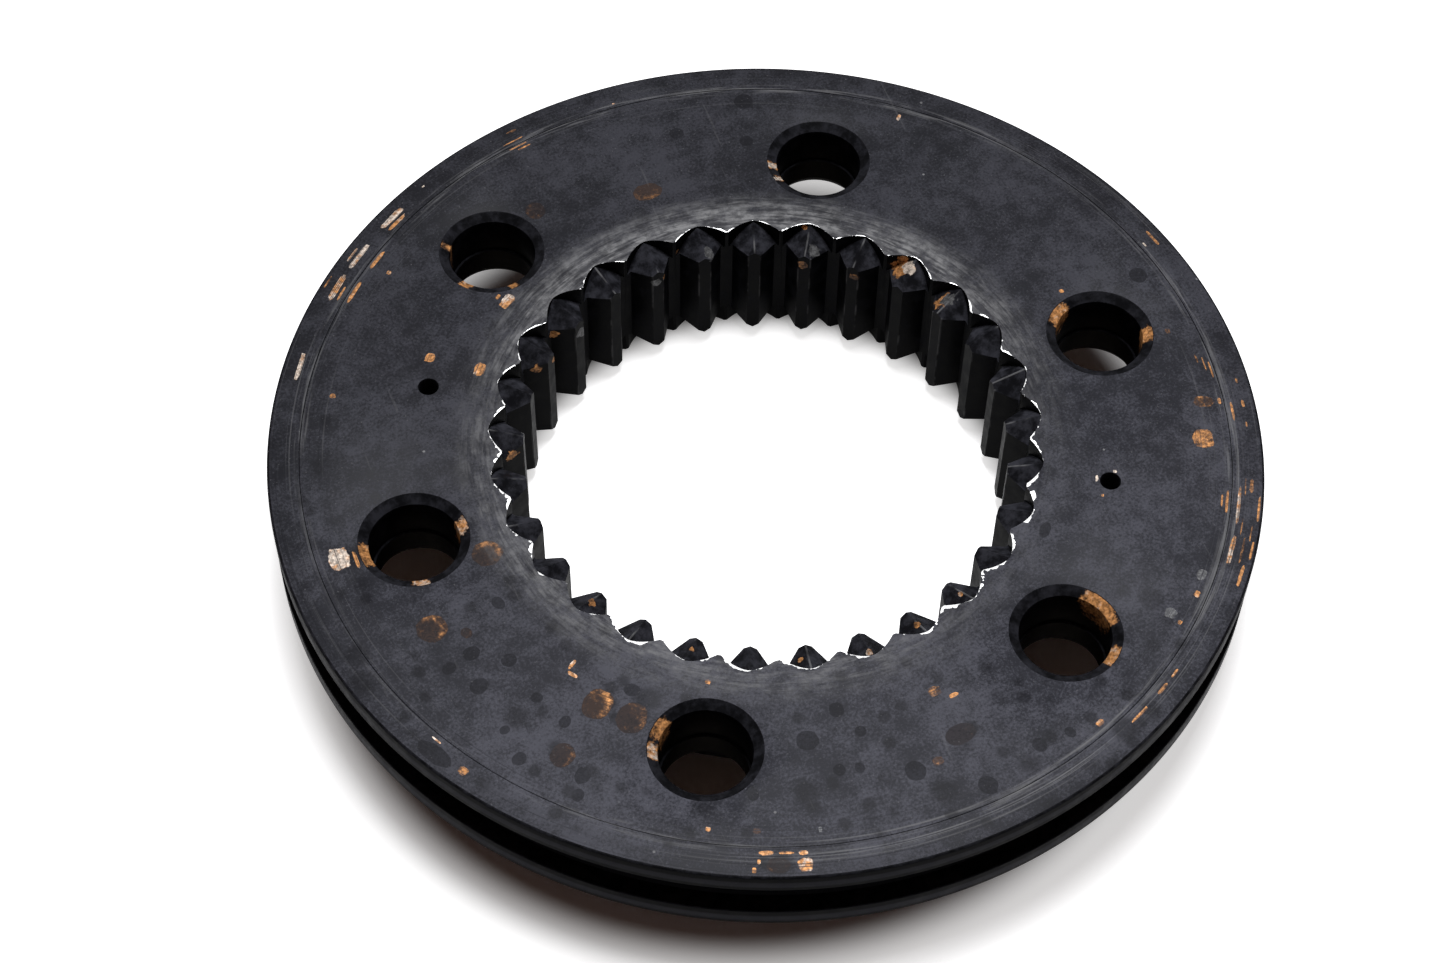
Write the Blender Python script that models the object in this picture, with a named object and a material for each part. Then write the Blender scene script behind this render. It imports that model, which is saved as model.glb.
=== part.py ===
"""Slewing ring bearing with an internal toothed bore, a flush seam and a grooved outer ring.

Units are metres and +Z is up. The ring's axis is the Z axis, the hub stands on z = 0, and one bolt
hole lies on +X. Radii build up from the tooth tips outward, and heights from the hub's foot upward.
"""

import math

import bmesh
import bpy
from mathutils import Matrix, Vector

# Facets of turned pieces
RING_STEPS = 72
HOLE_STEPS = 24
POCKET_STEPS = 8
PIN_STEPS = 12
RACE_STEPS = 4

# Running and assembly clearances
FIT_GAP = 0.0003
CAGE_GAP = 0.0004
CUT_MARGIN = 0.001

# Toothed bore
TOOTH_COUNT = 29
TIP_RADIUS = 0.04895
TOOTH_HEIGHT = 0.00425
TIP_WIDTH = 0.0026
ROOT_GAP_WIDTH = 0.0026
TOOTH_TURN = math.radians(-2.95)

# Pointed tooth ends: a lobed wall round a gable roof on each tooth, at both ends of the bore
LOBE_DEPTH = 0.0027
LOBE_CURVE = 1.6
LOBE_STEPS = 4
RIDGE_DROP = 0.00035
RIDGE_SLOPE = 0.31
ROOF_SLOPE = 0.7

# Hub under the disc
HUB_WALL = 0.0026
HUB_DROP = 0.012
HUB_EDGE_BREAK = 0.0005

# Bolt holes and dowel holes
BOLT_COUNT = 6
BOLT_BORE_DIAMETER = 0.018
BOLT_LOWER_DIAMETER = 0.017
BOLT_LEDGE_DEPTH = 0.010
MOUTH_CHAMFER_WIDTH = 0.002
MOUTH_CHAMFER_DEPTH = 0.0012
FOOT_CHAMFER_WIDTH = 0.0015
FOOT_CHAMFER_DEPTH = 0.0025
HOLE_TO_HUB = 0.0045
DOWEL_DIAMETER = 0.0041
DOWEL_TO_HUB = 0.0089
DOWEL_COUNT = 2

# Ball row, cage and seals
BALL_COUNT = 36
BALL_DIAMETER = 0.006
RACE_GAP = 0.00035
HOLE_TO_RACE = 0.00285
LAND_GAP = 0.002
CAGE_CLEARANCE = 0.00035
CAGE_WEB = 0.0015
POCKET_GAP = 0.0004
SEAL_WIDTH = 0.0024
SEAL_THICKNESS = 0.0013

# Lip of the inner ring, and the outer ring
LIP_REACH = 0.00515
LIP_THICKNESS = 0.0025
RACE_TO_GROOVE = 0.00345
GROOVE_DEPTH = 0.004
GROOVE_WIDTH = 0.0085
RIM_EDGE_BREAK = 0.0005

# Loading plug and its pin
PLUG_OVER_BALL = 0.0005
PLUG_ANGLE = math.radians(45)
PIN_DIAMETER = 0.0012
PIN_REACH = 0.0014

# Radii worked out from the tooth tips outward
tooth_pitch = 2 * math.pi / TOOTH_COUNT
root_radius = TIP_RADIUS + TOOTH_HEIGHT
lobe_radius = root_radius + LOBE_DEPTH
hub_radius = lobe_radius + HUB_WALL
bore_radius = BOLT_BORE_DIAMETER / 2
mouth_radius = bore_radius + MOUTH_CHAMFER_WIDTH
bolt_circle_radius = hub_radius + HOLE_TO_HUB + mouth_radius
dowel_circle_radius = hub_radius + DOWEL_TO_HUB + DOWEL_DIAMETER / 2
ball_radius = BALL_DIAMETER / 2
race_radius = ball_radius + RACE_GAP
pitch_radius = bolt_circle_radius + bore_radius + HOLE_TO_RACE + race_radius
inner_land_radius = pitch_radius - LAND_GAP / 2
outer_land_radius = pitch_radius + LAND_GAP / 2
lip_radius = inner_land_radius + LIP_REACH
recess_radius = lip_radius + FIT_GAP
seal_inner_radius = inner_land_radius + FIT_GAP
seal_outer_radius = seal_inner_radius + SEAL_WIDTH
seal_seat_radius = seal_outer_radius + FIT_GAP
groove_radius = pitch_radius + race_radius + RACE_TO_GROOVE
rim_radius = groove_radius + GROOVE_DEPTH

# Heights worked out from the ball row's plane
cage_height = BALL_DIAMETER + 2 * CAGE_WEB
half_disc = LIP_THICKNESS + FIT_GAP + SEAL_THICKNESS + CAGE_GAP + cage_height / 2
disc_bottom = HUB_DROP
row_height = disc_bottom + half_disc
disc_top = row_height + half_disc
lip_bottom = disc_top - LIP_THICKNESS
recess_floor = lip_bottom - FIT_GAP
upper_seal_bottom = recess_floor - SEAL_THICKNESS
upper_seat = upper_seal_bottom - FIT_GAP
lower_seal_top = disc_bottom + SEAL_THICKNESS
lower_seat = lower_seal_top + FIT_GAP


def clear_scene():
    """Remove whatever the open file holds."""
    for old in list(bpy.data.objects):
        bpy.data.objects.remove(old, do_unlink=True)


def make_material(name, color, roughness, metallic):
    """A Principled material in one colour."""
    material = bpy.data.materials.new(name)
    material.use_nodes = True
    shader = material.node_tree.nodes["Principled BSDF"]
    shader.inputs["Base Color"].default_value = (*color, 1.0)
    shader.inputs["Roughness"].default_value = roughness
    shader.inputs["Metallic"].default_value = metallic
    return material


def add_object(name, mesh, parent=None):
    """Put a mesh into the scene under its piece's name."""
    piece = bpy.data.objects.new(name, mesh)
    bpy.context.scene.collection.objects.link(piece)
    piece.parent = parent
    return piece


def add_axis(name):
    """An empty on the ring's axis, which carries the pieces that turn together."""
    axis = bpy.data.objects.new(name, None)
    axis.empty_display_type = "ARROWS"
    bpy.context.scene.collection.objects.link(axis)
    return axis


def mesh_from(bm, name):
    """Close a bmesh into a mesh whose faces point outward."""
    bmesh.ops.recalc_face_normals(bm, faces=bm.faces)
    mesh = bpy.data.meshes.new(name)
    bm.to_mesh(mesh)
    bm.free()
    return mesh


def turned(name, profile, steps, solid=False):
    """Turn (radius, height) points about Z: a closed outline, or a solid's side with flat ends."""
    bm = bmesh.new()
    points = [bm.verts.new((radius, 0.0, height)) for radius, height in profile]
    ends = points[1:] if solid else points[1:] + points[:1]
    edges = [bm.edges.new(pair) for pair in zip(points, ends)]
    bmesh.ops.spin(
        bm,
        geom=points + edges,
        cent=(0, 0, 0),
        axis=(0, 0, 1),
        angle=2 * math.pi,
        steps=steps,
        use_merge=True,
    )
    if solid:
        bmesh.ops.holes_fill(bm, edges=bm.edges, sides=0)
    return mesh_from(bm, name)


def repeat_mesh(name, mesh, places):
    """One mesh that holds a copy of another at each place."""
    bm = bmesh.new()
    for place in places:
        copy = mesh.copy()
        copy.transform(place)
        bm.from_mesh(copy)
        bpy.data.meshes.remove(copy)
    return mesh_from(bm, name)


def cut(piece, cutter_mesh):
    """Take a cutter's volume out of a piece."""
    cutter = add_object(cutter_mesh.name, cutter_mesh)
    cutter.hide_render = True
    cutter.display_type = "WIRE"
    difference = piece.modifiers.new("cut", "BOOLEAN")
    difference.operation = "DIFFERENCE"
    difference.solver = "EXACT"
    difference.object = cutter
    graph = bpy.context.evaluated_depsgraph_get()
    result = bpy.data.meshes.new_from_object(piece.evaluated_get(graph))
    piece.modifiers.clear()
    piece.data = result
    bpy.data.objects.remove(cutter, do_unlink=True)


def finish(piece, material):
    """Give a piece its material and smooth shading between sharp edges."""
    piece.data.materials.clear()
    piece.data.materials.append(material)
    piece.data.shade_smooth()
    piece.data.set_sharp_from_angle(angle=math.radians(30))


def turn(angle):
    """Rotation about the ring's axis."""
    return Matrix.Rotation(angle, 4, "Z")


def race_points(land_radius, side):
    """Points of a ball race, from its upper land edge down to its lower one."""
    half_angle = math.acos((land_radius - pitch_radius) * side / race_radius)
    points = []
    for step in range(RACE_STEPS + 1):
        angle = half_angle * (1 - 2 * step / RACE_STEPS)
        radius = pitch_radius + side * race_radius * math.cos(angle)
        points.append((radius, row_height + race_radius * math.sin(angle)))
    return points


def polar(radius, angle, height):
    """A point by its radius, angle and height."""
    return Vector((radius * math.cos(angle), radius * math.sin(angle), height))


def tooth_gap_cutter():
    """A prism with the bore's toothed outline, taller than the hub."""
    tip_half = math.asin(TIP_WIDTH / 2 / TIP_RADIUS)
    root_half = tooth_pitch / 2 - math.asin(ROOT_GAP_WIDTH / 2 / root_radius)
    bm = bmesh.new()
    outline = []
    for tooth in range(TOOTH_COUNT):
        centre = TOOTH_TURN + tooth * tooth_pitch
        outline.append(polar(root_radius, centre - root_half, -CUT_MARGIN))
        outline.append(polar(TIP_RADIUS, centre - tip_half, -CUT_MARGIN))
        outline.append(polar(TIP_RADIUS, centre + tip_half, -CUT_MARGIN))
        outline.append(polar(root_radius, centre + root_half, -CUT_MARGIN))
    face = bm.faces.new([bm.verts.new(point) for point in outline])
    grown = bmesh.ops.extrude_face_region(bm, geom=[face])
    top = [item for item in grown["geom"] if isinstance(item, bmesh.types.BMVert)]
    bmesh.ops.translate(bm, verts=top, vec=(0, 0, disc_top + 2 * CUT_MARGIN))
    return mesh_from(bm, "tooth_gaps")


def roof_height(radius, offset):
    """Height of the roof over a tooth, at an angle from the tooth's middle."""
    ridge = disc_top - RIDGE_DROP - RIDGE_SLOPE * (lobe_radius - radius)
    return ridge - ROOF_SLOPE * radius * math.sin(abs(offset))


def crown_cutter(place):
    """A plug with a lobed wall above and a gable roof over each tooth below."""
    core_radius = TIP_RADIUS - TOOTH_HEIGHT
    bm = bmesh.new()
    rims = []
    roofs = []
    cores = []
    for index in range(TOOTH_COUNT * LOBE_STEPS):
        tooth, part = divmod(index, LOBE_STEPS)
        share = part / LOBE_STEPS
        offset = share if share <= 0.5 else share - 1
        spread = offset * tooth_pitch
        angle = TOOTH_TURN + (tooth + share) * tooth_pitch
        inset = (LOBE_DEPTH + FIT_GAP) * abs(2 * offset) ** LOBE_CURVE
        radius = lobe_radius - inset
        rims.append(bm.verts.new(polar(radius, angle, disc_top + CUT_MARGIN)))
        roofs.append(bm.verts.new(polar(radius, angle, roof_height(radius, spread))))
        cores.append(bm.verts.new(polar(core_radius, angle, roof_height(core_radius, spread))))
    for upper, lower in ((rims, roofs), (roofs, cores)):
        for index, corner in enumerate(upper):
            previous = index - 1
            bm.faces.new((upper[previous], corner, lower[index], lower[previous]))
    bm.faces.new(rims)
    bmesh.ops.poke(bm, faces=[bm.faces.new(cores)])
    bmesh.ops.triangulate(bm, faces=bm.faces)
    mesh = mesh_from(bm, "crown")
    mesh.transform(place)
    return mesh


def bolt_hole_cutter():
    """Stepped through holes with a chamfer at each end, on the bolt circle."""
    lower_radius = BOLT_LOWER_DIAMETER / 2
    ledge = disc_top - BOLT_LEDGE_DEPTH
    foot_top = disc_bottom + FOOT_CHAMFER_DEPTH
    over_mouth = CUT_MARGIN * MOUTH_CHAMFER_WIDTH / MOUTH_CHAMFER_DEPTH
    over_foot = CUT_MARGIN * FOOT_CHAMFER_WIDTH / FOOT_CHAMFER_DEPTH
    profile = [
        (mouth_radius + over_mouth, disc_top + CUT_MARGIN),
        (bore_radius, disc_top - MOUTH_CHAMFER_DEPTH),
        (bore_radius, ledge),
        (lower_radius, ledge),
        (lower_radius, foot_top),
        (lower_radius + FOOT_CHAMFER_WIDTH + over_foot, disc_bottom - CUT_MARGIN),
    ]
    hole = turned("bolt_hole", profile, HOLE_STEPS, solid=True)
    hole.transform(Matrix.Translation((bolt_circle_radius, 0, 0)))
    places = [turn(2 * math.pi * index / BOLT_COUNT) for index in range(BOLT_COUNT)]
    return repeat_mesh("bolt_holes", hole, places)


def dowel_hole_cutter():
    """Small through holes, midway between two bolt holes on opposite sides."""
    radius = DOWEL_DIAMETER / 2
    profile = [(radius, disc_top + CUT_MARGIN), (radius, disc_bottom - CUT_MARGIN)]
    hole = turned("dowel_hole", profile, PIN_STEPS, solid=True)
    hole.transform(Matrix.Translation((dowel_circle_radius, 0, 0)))
    start = -math.pi / BOLT_COUNT
    places = [turn(start + 2 * math.pi * index / DOWEL_COUNT) for index in range(DOWEL_COUNT)]
    return repeat_mesh("dowel_holes", hole, places)


def radial_rod(name, radius, inner_end, outer_end, steps):
    """A rod that lies along +X at the ball row's height."""
    profile = [(radius, outer_end), (radius, inner_end)]
    rod = turned(name, profile, steps, solid=True)
    rod.transform(Matrix.Translation((0, 0, row_height)) @ Matrix.Rotation(math.pi / 2, 4, "Y"))
    return rod


def build_inner_ring(material):
    """The disc with its toothed bore, hub, lip, inner race and holes."""
    core_radius = TIP_RADIUS - TOOTH_HEIGHT
    profile = [
        (core_radius, disc_top),
        (lip_radius, disc_top),
        (lip_radius, lip_bottom),
        (inner_land_radius, lip_bottom),
        *race_points(inner_land_radius, -1),
        (inner_land_radius, disc_bottom),
        (hub_radius, disc_bottom),
        (hub_radius, HUB_EDGE_BREAK),
        (hub_radius - HUB_EDGE_BREAK, 0.0),
        (core_radius, 0.0),
    ]
    ring = add_object("inner_ring", turned("inner_ring", profile, RING_STEPS))
    upside_down = Matrix.Translation((0, 0, disc_top)) @ Matrix.Scale(-1, 4, (0, 0, 1))
    cut(ring, tooth_gap_cutter())
    cut(ring, crown_cutter(Matrix.Identity(4)))
    crown = crown_cutter(upside_down)
    crown.flip_normals()
    cut(ring, crown)
    cut(ring, bolt_hole_cutter())
    cut(ring, dowel_hole_cutter())
    finish(ring, material)


def build_outer_ring(axis, material):
    """The grooved rim with its lip recess, outer race, seal seats and plug hole."""
    flange = half_disc - GROOVE_WIDTH / 2
    profile = [
        (recess_radius, disc_top),
        (rim_radius - RIM_EDGE_BREAK, disc_top),
        (rim_radius, disc_top - RIM_EDGE_BREAK),
        (rim_radius, disc_top - flange),
        (groove_radius, disc_top - flange),
        (groove_radius, disc_bottom + flange),
        (rim_radius, disc_bottom + flange),
        (rim_radius, disc_bottom + RIM_EDGE_BREAK),
        (rim_radius - RIM_EDGE_BREAK, disc_bottom),
        (seal_seat_radius, disc_bottom),
        (seal_seat_radius, lower_seat),
        (outer_land_radius, lower_seat),
        *reversed(race_points(outer_land_radius, 1)),
        (outer_land_radius, upper_seat),
        (seal_seat_radius, upper_seat),
        (seal_seat_radius, recess_floor),
        (recess_radius, recess_floor),
    ]
    ring = add_object("outer_ring", turned("outer_ring", profile, RING_STEPS), axis)
    hole_radius = ball_radius + PLUG_OVER_BALL / 2 + FIT_GAP
    hole = radial_rod("plug_hole", hole_radius, pitch_radius, groove_radius + CUT_MARGIN, HOLE_STEPS)
    hole.transform(turn(PLUG_ANGLE))
    cut(ring, hole)
    pin_hole = pin_mesh("pin_hole", PIN_DIAMETER / 2 + FIT_GAP, disc_bottom - CUT_MARGIN, row_height)
    cut(ring, pin_hole)
    finish(ring, material)


def pin_mesh(name, radius, bottom, top):
    """An upright rod through the middle of the loading plug."""
    plug_middle = (plug_inner_end() + plug_outer_end()) / 2
    rod = turned(name, [(radius, top), (radius, bottom)], PIN_STEPS, solid=True)
    rod.transform(turn(PLUG_ANGLE) @ Matrix.Translation((plug_middle, 0, 0)))
    return rod


def plug_inner_end():
    """Radius where the loading plug stops behind the balls."""
    return pitch_radius + race_radius + FIT_GAP


def plug_outer_end():
    """Radius where the loading plug stops below the groove's floor."""
    return groove_radius - FIT_GAP


def build_loading_plug(axis, material):
    """The plug in the ball filling hole, drilled for its pin."""
    radius = ball_radius + PLUG_OVER_BALL / 2
    rod = radial_rod("loading_plug", radius, plug_inner_end(), plug_outer_end(), HOLE_STEPS)
    rod.transform(turn(PLUG_ANGLE))
    plug = add_object("loading_plug", rod, axis)
    pin_top = row_height - PIN_REACH
    cut(plug, pin_mesh("pin_seat", PIN_DIAMETER / 2 + FIT_GAP, disc_bottom, pin_top + FIT_GAP))
    finish(plug, material)


def build_plug_pin(axis, material):
    """The pin that locks the loading plug from the rim's lower face."""
    rod = pin_mesh("plug_pin", PIN_DIAMETER / 2, disc_bottom + FIT_GAP, row_height - PIN_REACH)
    finish(add_object("plug_pin", rod, axis), material)


def build_seal(name, bottom, axis, material):
    """A flat sealing ring in its seat on the outer ring."""
    top = bottom + SEAL_THICKNESS
    profile = [
        (seal_inner_radius, top),
        (seal_outer_radius, top),
        (seal_outer_radius, bottom),
        (seal_inner_radius, bottom),
    ]
    finish(add_object(name, turned(name, profile, RING_STEPS), axis), material)


def build_cage(axis, material):
    """The thin band that spaces the balls, with one pocket for each."""
    inner = inner_land_radius + CAGE_CLEARANCE
    outer = outer_land_radius - CAGE_CLEARANCE
    top = row_height + cage_height / 2
    bottom = row_height - cage_height / 2
    profile = [(inner, top), (outer, top), (outer, bottom), (inner, bottom)]
    cage = add_object("ball_cage", turned("ball_cage", profile, RING_STEPS), axis)
    pocket_radius = ball_radius + POCKET_GAP
    pocket = radial_rod("pocket", pocket_radius, inner - CUT_MARGIN, outer + CUT_MARGIN, POCKET_STEPS)
    cut(cage, repeat_mesh("pockets", pocket, ball_places()))
    finish(cage, material)


def ball_places():
    """One turn about the axis for each ball, midway along the cage's facets."""
    half_facet = math.pi / RING_STEPS
    return [turn(half_facet + 2 * math.pi * index / BALL_COUNT) for index in range(BALL_COUNT)]


def build_balls(axis, material):
    """The ball row, each ball its own object."""
    bm = bmesh.new()
    bmesh.ops.create_icosphere(bm, subdivisions=2, radius=ball_radius)
    mesh = mesh_from(bm, "ball")
    mesh.materials.append(material)
    mesh.shade_smooth()
    for index, place in enumerate(ball_places()):
        ball = add_object(f"ball_{index + 1:02d}", mesh, axis)
        ball.location = place @ Vector((pitch_radius, 0, row_height))


def main():
    clear_scene()
    outer_axis = add_axis("outer_ring_axis")
    cage_axis = add_axis("cage_axis")
    black_oxide = make_material("black_oxide_steel", (0.045, 0.048, 0.055), 0.42, 0.8)
    bearing_steel = make_material("bearing_steel", (0.62, 0.62, 0.63), 0.18, 1.0)
    cage_polymer = make_material("cage_polymer", (0.50, 0.42, 0.26), 0.5, 0.0)
    seal_rubber = make_material("seal_rubber", (0.02, 0.02, 0.02), 0.7, 0.0)
    build_inner_ring(black_oxide)
    build_outer_ring(outer_axis, black_oxide)
    build_loading_plug(outer_axis, bearing_steel)
    build_plug_pin(outer_axis, bearing_steel)
    build_seal("upper_seal", upper_seal_bottom, outer_axis, seal_rubber)
    build_seal("lower_seal", disc_bottom, outer_axis, seal_rubber)
    build_cage(cage_axis, cage_polymer)
    build_balls(cage_axis, bearing_steel)


main()
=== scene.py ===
"""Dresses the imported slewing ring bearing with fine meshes, a worn black finish and a studio stage."""

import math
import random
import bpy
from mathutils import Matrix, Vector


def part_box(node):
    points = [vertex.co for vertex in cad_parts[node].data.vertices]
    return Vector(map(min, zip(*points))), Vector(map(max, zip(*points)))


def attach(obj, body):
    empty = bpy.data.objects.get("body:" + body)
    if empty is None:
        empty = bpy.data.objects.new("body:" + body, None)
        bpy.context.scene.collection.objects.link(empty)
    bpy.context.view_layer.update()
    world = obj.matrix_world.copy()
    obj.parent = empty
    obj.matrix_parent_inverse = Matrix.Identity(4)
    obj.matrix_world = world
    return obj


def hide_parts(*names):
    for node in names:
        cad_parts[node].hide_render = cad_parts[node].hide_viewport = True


bl_info = {
    "name": "Slewing Ring Bearing",
    "version": (1, 0, 0),
    "blender": (4, 5, 0),
    "location": "3D View > Sidebar > Bearing",
    "description": "Builds the fine shapes and worn black finish of a slewing ring bearing",
    "category": "Object",
}

import bmesh
import bpy
from mathutils import Matrix, Vector, geometry

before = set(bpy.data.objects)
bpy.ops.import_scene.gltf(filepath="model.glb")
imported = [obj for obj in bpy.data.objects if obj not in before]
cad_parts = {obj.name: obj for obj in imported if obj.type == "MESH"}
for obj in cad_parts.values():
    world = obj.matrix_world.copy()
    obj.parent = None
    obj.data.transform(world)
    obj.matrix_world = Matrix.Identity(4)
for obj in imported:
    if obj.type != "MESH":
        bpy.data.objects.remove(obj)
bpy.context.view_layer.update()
INNER_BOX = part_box("inner_ring")
OUTER_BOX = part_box("outer_ring")
UPPER_SEAL_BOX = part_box("upper_seal")
LOWER_SEAL_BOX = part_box("lower_seal")
BALL_NODES = sorted(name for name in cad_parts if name.startswith("ball_") and name != "ball_cage")

MM = 0.001
INNER_BODY = "inner_ring_body"
OUTER_BODY = "outer_ring_body"
CAGE_BODY = "cage_body"

# Steps round each shape
TOOTH_COUNT = 29
RING_STEPS = TOOTH_COUNT * 12
LOBE_STEPS = 16
MOUTH_STEPS = 64
SMALL_STEPS = 28
RACE_STEPS = 12
FILLET_STEPS = 4
EDGE_STEPS = 3
MARK_STEPS = 16
BALL_RINGS = 16

# The photograph's camera, in metres about the ring's axis, and the turn from the ring's angles to
# those that the camera sees
VIEW_TURN = math.radians(21.57)
CAMERA_PLACE = Vector((-0.13460, -0.31715, 0.50280))
CAMERA_AIM = Vector((-0.01241, -0.00805, 0.0300))
CAMERA_ROLL = math.radians(1.04)
CAMERA_LENS = 72.41
SENSOR_WIDTH = 36.0
CLIP_START = 0.01


class RingSizes(bpy.types.PropertyGroup):
    """Sizes of the two rings that the frame's boxes don't give."""

    tip_radius: bpy.props.FloatProperty(
        name="Tooth tip radius",
        description="Radius of the circle through the tooth tips",
        default=48.95 * MM,
        unit="LENGTH",
    )
    root_radius: bpy.props.FloatProperty(
        name="Tooth root radius",
        description="Radius of the circle through the bottoms of the tooth gaps",
        default=53.2 * MM,
        unit="LENGTH",
    )
    tip_width: bpy.props.FloatProperty(
        name="Tooth tip width",
        description="Width of the flat land on each tooth tip",
        default=2.6 * MM,
        unit="LENGTH",
    )
    gap_width: bpy.props.FloatProperty(
        name="Root gap width",
        description="Width of the floor of each tooth gap",
        default=2.6 * MM,
        unit="LENGTH",
    )
    lobe_radius: bpy.props.FloatProperty(
        name="Lobe radius",
        description="Largest radius of the lobed edge round the tooth ends",
        default=55.9 * MM,
        unit="LENGTH",
    )
    hub_radius: bpy.props.FloatProperty(
        name="Hub radius",
        description="Outside radius of the hub under the disc",
        default=58.5 * MM,
        unit="LENGTH",
    )
    bolt_circle: bpy.props.FloatProperty(
        name="Bolt circle radius",
        description="Radius of the circle through the bolt holes",
        default=74.0 * MM,
        unit="LENGTH",
    )
    bolt_bore: bpy.props.FloatProperty(
        name="Bolt bore radius",
        description="Radius of a bolt hole above its ledge",
        default=9.0 * MM,
        unit="LENGTH",
    )
    bolt_lower: bpy.props.FloatProperty(
        name="Bolt lower radius",
        description="Radius of a bolt hole below its ledge",
        default=8.5 * MM,
        unit="LENGTH",
    )
    mouth_radius: bpy.props.FloatProperty(
        name="Hole mouth radius",
        description="Radius of the chamfered mouth of a bolt hole",
        default=11.0 * MM,
        unit="LENGTH",
    )
    dowel_circle: bpy.props.FloatProperty(
        name="Dowel circle radius",
        description="Radius of the circle through the two small holes",
        default=69.45 * MM,
        unit="LENGTH",
    )
    dowel_radius: bpy.props.FloatProperty(
        name="Dowel hole radius",
        description="Radius of a small hole",
        default=2.05 * MM,
        unit="LENGTH",
    )
    groove_radius: bpy.props.FloatProperty(
        name="Groove radius",
        description="Radius of the floor of the rim groove",
        default=96.0 * MM,
        unit="LENGTH",
    )
    groove_width: bpy.props.FloatProperty(
        name="Groove width",
        description="Width of the rim groove",
        default=8.5 * MM,
        unit="LENGTH",
    )
    pitch_radius: bpy.props.FloatProperty(
        name="Ball circle radius",
        description="Radius of the circle through the ball centres",
        default=89.2 * MM,
        unit="LENGTH",
    )
    ball_radius: bpy.props.FloatProperty(
        name="Ball radius",
        description="Radius of one ball",
        default=3.0 * MM,
        unit="LENGTH",
    )


class FinishColours(bpy.types.PropertyGroup):
    """Colours of the finishes."""

    oxide: bpy.props.FloatVectorProperty(
        name="Black oxide",
        description="Colour of the black oxide on clean metal",
        default=(0.0163, 0.0167, 0.0209),
        subtype="COLOR",
        size=3,
    )
    # Also used for the painted sheen on the tooth roofs and the painted reflection on the rim
    oxide_pale: bpy.props.FloatVectorProperty(
        name="Pale oxide",
        description="Colour of the black oxide where handling has dulled it",
        default=(0.0512, 0.0523, 0.0640),
        subtype="COLOR",
        size=3,
    )
    # Also the base of the near-black finish, which paints shade on walls and bores, and of the painted shade
    # on upright faces
    oil: bpy.props.FloatVectorProperty(
        name="Oil stain",
        description="Colour of dried oil spots",
        default=(0.006, 0.006, 0.008),
        subtype="COLOR",
        size=3,
    )
    # Also used for the painted highlights along the seam and on the tooth edges
    rubbed: bpy.props.FloatVectorProperty(
        name="Rubbed steel",
        description="Colour of the grey band that is rubbed round the teeth",
        default=(0.205, 0.207, 0.212),
        subtype="COLOR",
        size=3,
    )
    burr: bpy.props.FloatVectorProperty(
        name="Burr",
        description="Colour of the bright burrs on the lobed edge",
        default=(0.80, 0.80, 0.80),
        subtype="COLOR",
        size=3,
    )
    rust: bpy.props.FloatVectorProperty(
        name="Brown stain",
        description="Colour of old chips and stains that have browned",
        default=(0.048, 0.029, 0.021),
        subtype="COLOR",
        size=3,
    )
    gold: bpy.props.FloatVectorProperty(
        name="Golden chip",
        description="Colour of thin golden rust in a chip",
        default=(0.44, 0.205, 0.075),
        subtype="COLOR",
        size=3,
    )
    bare: bpy.props.FloatVectorProperty(
        name="Bare chip",
        description="Colour of fresh chips of warm bare metal",
        default=(0.54, 0.46, 0.39),
        subtype="COLOR",
        size=3,
    )
    bearing_steel: bpy.props.FloatVectorProperty(
        name="Bearing steel",
        description="Colour of the balls, plug and pin",
        default=(0.60, 0.61, 0.62),
        subtype="COLOR",
        size=3,
    )
    cage: bpy.props.FloatVectorProperty(
        name="Cage polymer",
        description="Colour of the ball cage",
        default=(0.50, 0.42, 0.26),
        subtype="COLOR",
        size=3,
    )
    rubber: bpy.props.FloatVectorProperty(
        name="Seal rubber",
        description="Colour of the seals",
        default=(0.018, 0.018, 0.019),
        subtype="COLOR",
        size=3,
    )
    paper: bpy.props.FloatVectorProperty(
        name="Paper",
        description="Colour of the floor",
        default=(0.90, 0.90, 0.90),
        subtype="COLOR",
        size=3,
    )


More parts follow.
